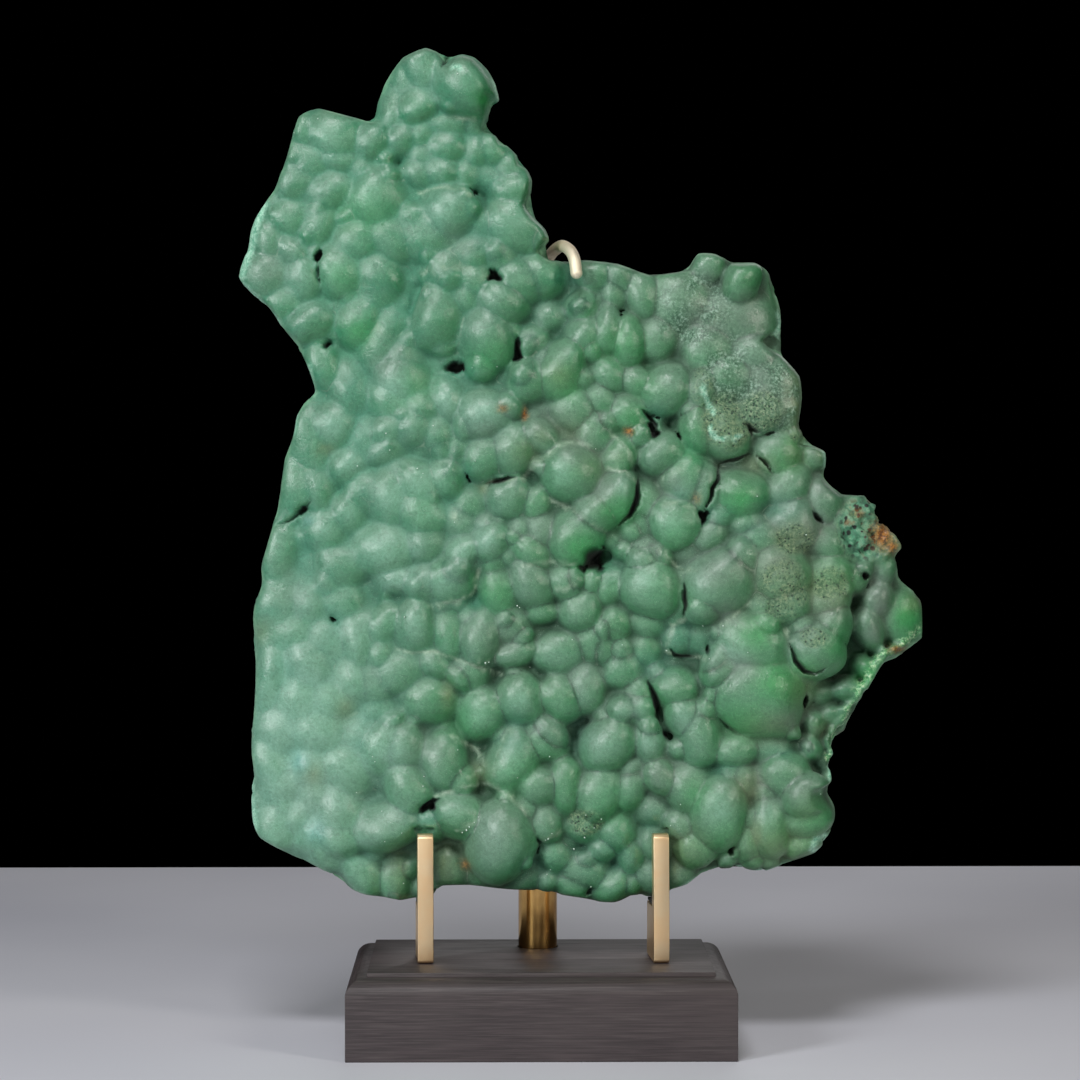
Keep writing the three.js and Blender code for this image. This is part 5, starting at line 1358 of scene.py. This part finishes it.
def wood_material():
    made, tree, shader = material_named("ebonised wood")
    grain = noise(tree, object_coordinates(tree, (9, 60, 420)), 4.0, 6, 0.6, 0.3)
    pores = noise(tree, object_coordinates(tree, (40, 900, 1500)), 1.0, 3, 0.6)
    cloud = noise(tree, object_coordinates(tree), 18, 3)
    grain_stops = [(0.3, (0.027, 0.020, 0.021)), (0.5, (0.047, 0.035, 0.037)), (0.7, (0.078, 0.060, 0.061))]
    colour = ramp(tree, grain, grain_stops)
    colour = mixed(tree, fade(tree, pores, 0.55, 0.72, 0, 0.6), colour, (0.11, 0.092, 0.09))
    colour = mixed(tree, fade(tree, cloud, 0.4, 0.75, 0, 0.35), colour, (0.10, 0.08, 0.08))
    fill_in(tree, shader, {
        "Base Color": colour,
        "Roughness": fade(tree, grain, 0.3, 0.7, 0.6, 0.48),
        "Coat Weight": 0.12,
        "Coat Roughness": 0.35,
        "Normal": bump(tree, plus(tree, grain, pores), 0.16, 0.0003),
    })
    return made


def brass_material(name, colour, tarnish, roughness):
    made, tree, shader = material_named(name)
    smear = noise(tree, object_coordinates(tree), 55, 4, 0.6)
    drawn = noise(tree, object_coordinates(tree, (900, 900, 25)), 1.0, 3, 0.5)
    wear = plus(tree, times(tree, smear, 0.5), times(tree, drawn, 0.5))
    fill_in(tree, shader, {
        "Base Color": ramp(tree, smear, [(0.35, tarnish), (0.6, colour)]),
        "Metallic": 1.0,
        "Roughness": fade(tree, wear, 0.3, 0.7, roughness + 0.1, roughness),
        "Normal": bump(tree, drawn, 0.05, 0.0002),
    })
    return made


def felt_material():
    made, tree, shader = material_named("black liner felt")
    fibres = noise(tree, object_coordinates(tree), 2600, 4, 0.7)
    fill_in(tree, shader, {
        "Base Color": ramp(tree, fibres, [(0.35, (0.008, 0.008, 0.008)), (0.7, (0.045, 0.042, 0.04))]),
        "Roughness": 0.95,
        "Normal": bump(tree, fibres, 0.5, 0.0003),
    })
    return made


def clouded_material(name, per_metre, detail, first, last, roughness):
    """Two close colours in soft clouds."""
    made, tree, shader = material_named(name)
    cloud = noise(tree, object_coordinates(tree), per_metre, detail)
    fill_in(tree, shader, {
        "Base Color": ramp(tree, cloud, [(0.3, first), (0.7, last)]),
        "Roughness": roughness,
    })
    return made


# Pieces of the stand


def select_top(piece):
    """Selects the faces that look up, and stays in edit mode."""
    bpy.ops.object.mode_set(mode="EDIT")
    bpy.ops.mesh.select_mode(type="FACE")
    bpy.ops.mesh.select_all(action="DESELECT")
    bpy.ops.object.mode_set(mode="OBJECT")
    for face in piece.data.polygons:
        face.select = face.normal.z > 0.9
    bpy.ops.object.mode_set(mode="EDIT")


def wooden_base():
    """Block with a quarter-round moulding, a low raised top, a socket for the post and holes for the pins."""
    straight = BASE_HEIGHT - STEP_HEIGHT - MOULDING_HEIGHT
    deselect()
    bpy.ops.mesh.primitive_cube_add(
        size=MM, location=(0, 0, straight / 2 * MM), scale=(BASE_WIDTH, BASE_DEPTH, straight),
    )
    base = named("wooden_base")
    settle(base)
    select_top(base)
    half_width, half_depth = BASE_WIDTH / 2, BASE_DEPTH / 2
    inset, height = 0.0, 0.0
    for step in range(1, MOULDING_STEPS + 1):
        angle = step / MOULDING_STEPS * math.pi / 2
        new_inset = MOULDING_INSET * (1 - math.cos(angle))
        new_height = MOULDING_HEIGHT * math.sin(angle)
        bpy.ops.mesh.extrude_region_move(TRANSFORM_OT_translate={"value": (0, 0, (new_height - height) * MM)})
        across = (half_width - new_inset) / (half_width - inset)
        deep = (half_depth - new_inset) / (half_depth - inset)
        centre = (0, 0, (straight + new_height) * MM)
        bpy.ops.transform.resize(value=(across, deep, 1), center_override=centre)
        inset, height = new_inset, new_height
    bpy.ops.mesh.extrude_region_move(TRANSFORM_OT_translate={"value": (0, 0, STEP_HEIGHT * MM)})
    bpy.ops.object.mode_set(mode="OBJECT")
    holes = [(POST_X, POST_Y, POST_SOCKET_DEPTH, POST_RADIUS, 96)]
    holes += [(x, PIN_Y, PIN_LENGTH, PIN_RADIUS, 32) for x in (LEFT_BRACKET_X, RIGHT_BRACKET_X)]
    for x, y, depth, radius, sides in holes:
        hole_floor = BASE_HEIGHT - depth - FIT_GAP
        drill = cylinder("drill", x, y, hole_floor, BASE_HEIGHT + 1, radius + FIT_GAP, sides)
        combine(base, drill, "DIFFERENCE")
    bevel(base, 0.35, 3, 50)
    smooth_by_angle(base, 30)
    return base


def brass_post():
    post = cylinder("brass_post", POST_X, POST_Y, BASE_HEIGHT - POST_SOCKET_DEPTH, POST_TOP, POST_RADIUS)
    socket_floor = POST_TOP - ROD_SOCKET_DEPTH - FIT_GAP
    drill = cylinder("drill", POST_X, POST_Y, socket_floor, POST_TOP + 1, ROD_RADIUS + FIT_GAP, 48)
    combine(post, drill, "DIFFERENCE")
    bevel(post, 0.6, 3, 50)
    smooth_by_angle(post, 40)
    return post


def hooked_rod():
    """Rod that rises from the post, bends forward over the stone's top edge and ends in a round tip."""
    path = [(POST_X, POST_Y, z) for z in (POST_TOP - ROD_SOCKET_DEPTH, 150, 200, 250, 280, 291)]
    path += [
        (0.5, POST_Y - 1, 304), (3, POST_Y - 6, 314), (6.5, 8, 318.6), (10.5, -6, 318.2),
        (13.3, -13.5, 313.5), (14.2, -16, 307.5),
    ]
    deselect()
    bpy.ops.curve.primitive_bezier_curve_add()
    rod = bpy.context.object
    spline = rod.data.splines[0]
    spline.bezier_points.add(len(path) - len(spline.bezier_points))
    for point, place in zip(spline.bezier_points, path):
        point.co = Vector(place) * MM
        point.handle_left_type = point.handle_right_type = "AUTO"
    rod.data.resolution_u = 14
    rod.data.bevel_depth = ROD_RADIUS * MM
    rod.data.bevel_resolution = 9
    rod.data.use_fill_caps = True
    activate(rod)
    bpy.ops.object.convert(target="MESH")
    rod = named("hooked_rod")
    deselect()
    bpy.ops.mesh.primitive_uv_sphere_add(
        segments=32, ring_count=20, radius=ROD_RADIUS * MM, location=Vector(path[-1]) * MM,
    )
    combine(rod, bpy.context.object, "UNION")
    smooth_by_angle(rod, 40)
    settle(rod)
    return rod


def side_plate(name, profile, x, width, rounding):
    """Bar cut to a side profile of (y, z) points, turned by the feet's yaw about their pin."""
    piece = outline_plate(name, [(0, y - PIN_Y, z) for y, z in profile], (-width / 2, 0, 0), (width, 0, 0))
    bevel(piece, rounding, 4, 30)
    piece.rotation_euler = Euler((0, 0, BRACKET_YAW))
    piece.location = (x * MM, PIN_Y * MM, 0)
    settle(piece)
    return piece


def brass_foot(name, x):
    foot = BASE_HEIGHT + FIT_GAP
    top_front = BRACKET_FRONT + PRONG_LEAN
    top_back = top_front + PRONG_THICKNESS
    piece = side_plate(name, [
        (BRACKET_FRONT + FOOT_EASE, foot),
        (BRACKET_FRONT, foot + FOOT_EASE),
        (BRACKET_FRONT, LEDGE_Z),
        (top_front, BRACKET_TOP - PRONG_EASE),
        (top_front + PRONG_EASE, BRACKET_TOP),
        (top_back - PRONG_EASE, BRACKET_TOP),
        (top_back, BRACKET_TOP - PRONG_EASE),
        (BRACKET_FRONT + PRONG_THICKNESS, LEDGE_Z),
        (BRACKET_BACK - FOOT_EASE, LEDGE_Z),
        (BRACKET_BACK, LEDGE_Z - FOOT_EASE),
        (BRACKET_BACK, foot),
    ], x, BAR_WIDTH, 0.45)
    combine(piece, cylinder("pin", x, PIN_Y, BASE_HEIGHT - PIN_LENGTH, foot + 2, PIN_RADIUS, 32), "UNION")
    smooth_by_angle(piece, 30)
    return piece


def liner(name, x):
    inner = BRACKET_FRONT + PRONG_THICKNESS + FIT_GAP
    lower = LEDGE_Z + FIT_GAP
    piece = side_plate(name, [
        (inner, lower),
        (inner + PRONG_LEAN, BRACKET_TOP - 3),
        (inner + PRONG_LEAN + PAD_THICKNESS, BRACKET_TOP - 3),
        (inner + PAD_THICKNESS, lower + PAD_THICKNESS),
        (BRACKET_BACK - 1, lower + PAD_THICKNESS),
        (BRACKET_BACK - 1, lower),
    ], x, BAR_WIDTH - 0.4, 0.25)
    smooth_by_angle(piece, 40)
    return piece


def druse_glints(stone):
    """Tiny crystals sitting on the stone's front, coloured pale as painted glints."""
    x, y, z = millimetres(stone)
    crystals = []
    for cx, cz, radius in glints:
        near = np.hypot(x - cx, z - cz) < 1.6
        if not near.any():
            continue
        sunk_in = y[near].min() + 0.25 * radius
        deselect()
        bpy.ops.mesh.primitive_ico_sphere_add(
            subdivisions=1,
            radius=0.45 * radius * MM,
            location=(cx * MM, sunk_in * MM, cz * MM),
            rotation=(cx, cz, cx + cz),
            scale=(1.1, 0.8, 1),
        )
        crystals.append(bpy.context.object)
    return join(crystals, "druse_glints")


# Stage


def pale_table():
    deselect()
    bpy.ops.mesh.primitive_cube_add(
        size=1, location=(0, 0, -TABLE_THICKNESS / 2), scale=(TABLE_SIZE, TABLE_SIZE, TABLE_THICKNESS),
    )
    table = named("pale_table")
    settle(table)
    table.data.materials.append(
        clouded_material("pale table top", 4, 2, (0.70, 0.70, 0.78), (0.76, 0.76, 0.83), 0.6)
    )


def area_light(name, place, target, size, watts, colour):
    light = bpy.data.lights.new(name, "AREA")
    light.shape = "RECTANGLE"
    light.size, light.size_y = size
    light.energy = watts
    light.color = colour
    lamp = bpy.data.objects.new(name, light)
    lamp.location = place
    lamp.rotation_euler = (Vector(target) - Vector(place)).to_track_quat("-Z", "Y").to_euler()
    lamp.visible_camera = False
    bpy.context.collection.objects.link(lamp)


def lights():
    middle = (0, 0, 0.22)
    area_light("left window", (-0.95, -1.0, 0.6), (-0.05, 0, 0.15), (0.34, 0.46), 10.2, (0.97, 1, 1))
    area_light("right window", (1.0, -0.9, 0.65), middle, (0.22, 0.34), 4.6, (1, 0.96, 0.86))
    area_light("top front", (-0.15, -0.75, 1.15), middle, (0.4, 0.26), 6, (1, 1, 1))
    area_light("front card", (0.0, -1.7, 0.42), (0, 0, 0.12), (0.5, 0.35), 1.9, (1, 0.97, 0.92))
    area_light("back fill", (0.3, 1.2, 0.8), middle, (1.0, 0.8), 2.5, (1, 1, 1))
    world = bpy.data.worlds.new("dark room")
    world.use_nodes = True
    background = world.node_tree.nodes["Background"]
    background.inputs["Color"].default_value = (0.0, 0.0, 0.0, 1)
    background.inputs["Strength"].default_value = 0.0
    bpy.context.scene.world = world
    bpy.context.scene.view_settings.view_transform = "Standard"


def camera():
    made = bpy.data.cameras.new("camera")
    made.sensor_width = SENSOR_WIDTH
    made.lens = SENSOR_WIDTH * LENS_PIXELS / FRAME_PIXELS
    made.dof.use_dof = False
    eye = bpy.data.objects.new("camera", made)
    eye.location = (-0.0149, -1.2326, 0.2294)
    eye.rotation_euler = (math.radians(90 - 1.309), 0, math.radians(-0.69))
    bpy.context.collection.objects.link(eye)
    bpy.context.scene.camera = eye


camera()
lights()
pale_table()

stone = grow_stone()
paint(stone)
finish_piece(stone, malachite_material(), "malachite", "malachite")
# Tiny real crystals, coloured pale as painted glints
druse = clouded_material("white druse crystals", 1800, 3, (0.50, 0.72, 0.60), (0.80, 0.90, 0.82), 0.2)
finish_piece(druse_glints(stone), druse, "malachite")
finish_piece(wooden_base(), wood_material(), "dark_wood", "base")
# The bars' brass is paler than the post's and the rod's is near-white cream: partly painted light, standing
# in for how brightly they are lit
post_brass = brass_material("polished post brass", (0.72, 0.45, 0.16), (0.5, 0.28, 0.09), 0.16)
bar_brass = brass_material("satin bar brass", (1.0, 0.78, 0.50), (1.0, 0.71, 0.41), 0.36)
rod_brass = brass_material("brushed rod brass", (1.0, 0.92, 0.74), (0.97, 0.84, 0.60), 0.66)
finish_piece(brass_post(), post_brass, "brass", "post")
finish_piece(hooked_rod(), rod_brass, "brass", "spine_rod")
finish_piece(brass_foot("left_foot", LEFT_BRACKET_X), bar_brass, "brass", "bracket_left")
finish_piece(brass_foot("right_foot", RIGHT_BRACKET_X), bar_brass, "brass", "bracket_right")
felt = felt_material()
finish_piece(liner("left_liner", LEFT_BRACKET_X), felt, "felt", "pad_left")
finish_piece(liner("right_liner", RIGHT_BRACKET_X), felt, "felt", "pad_right")
deselect()
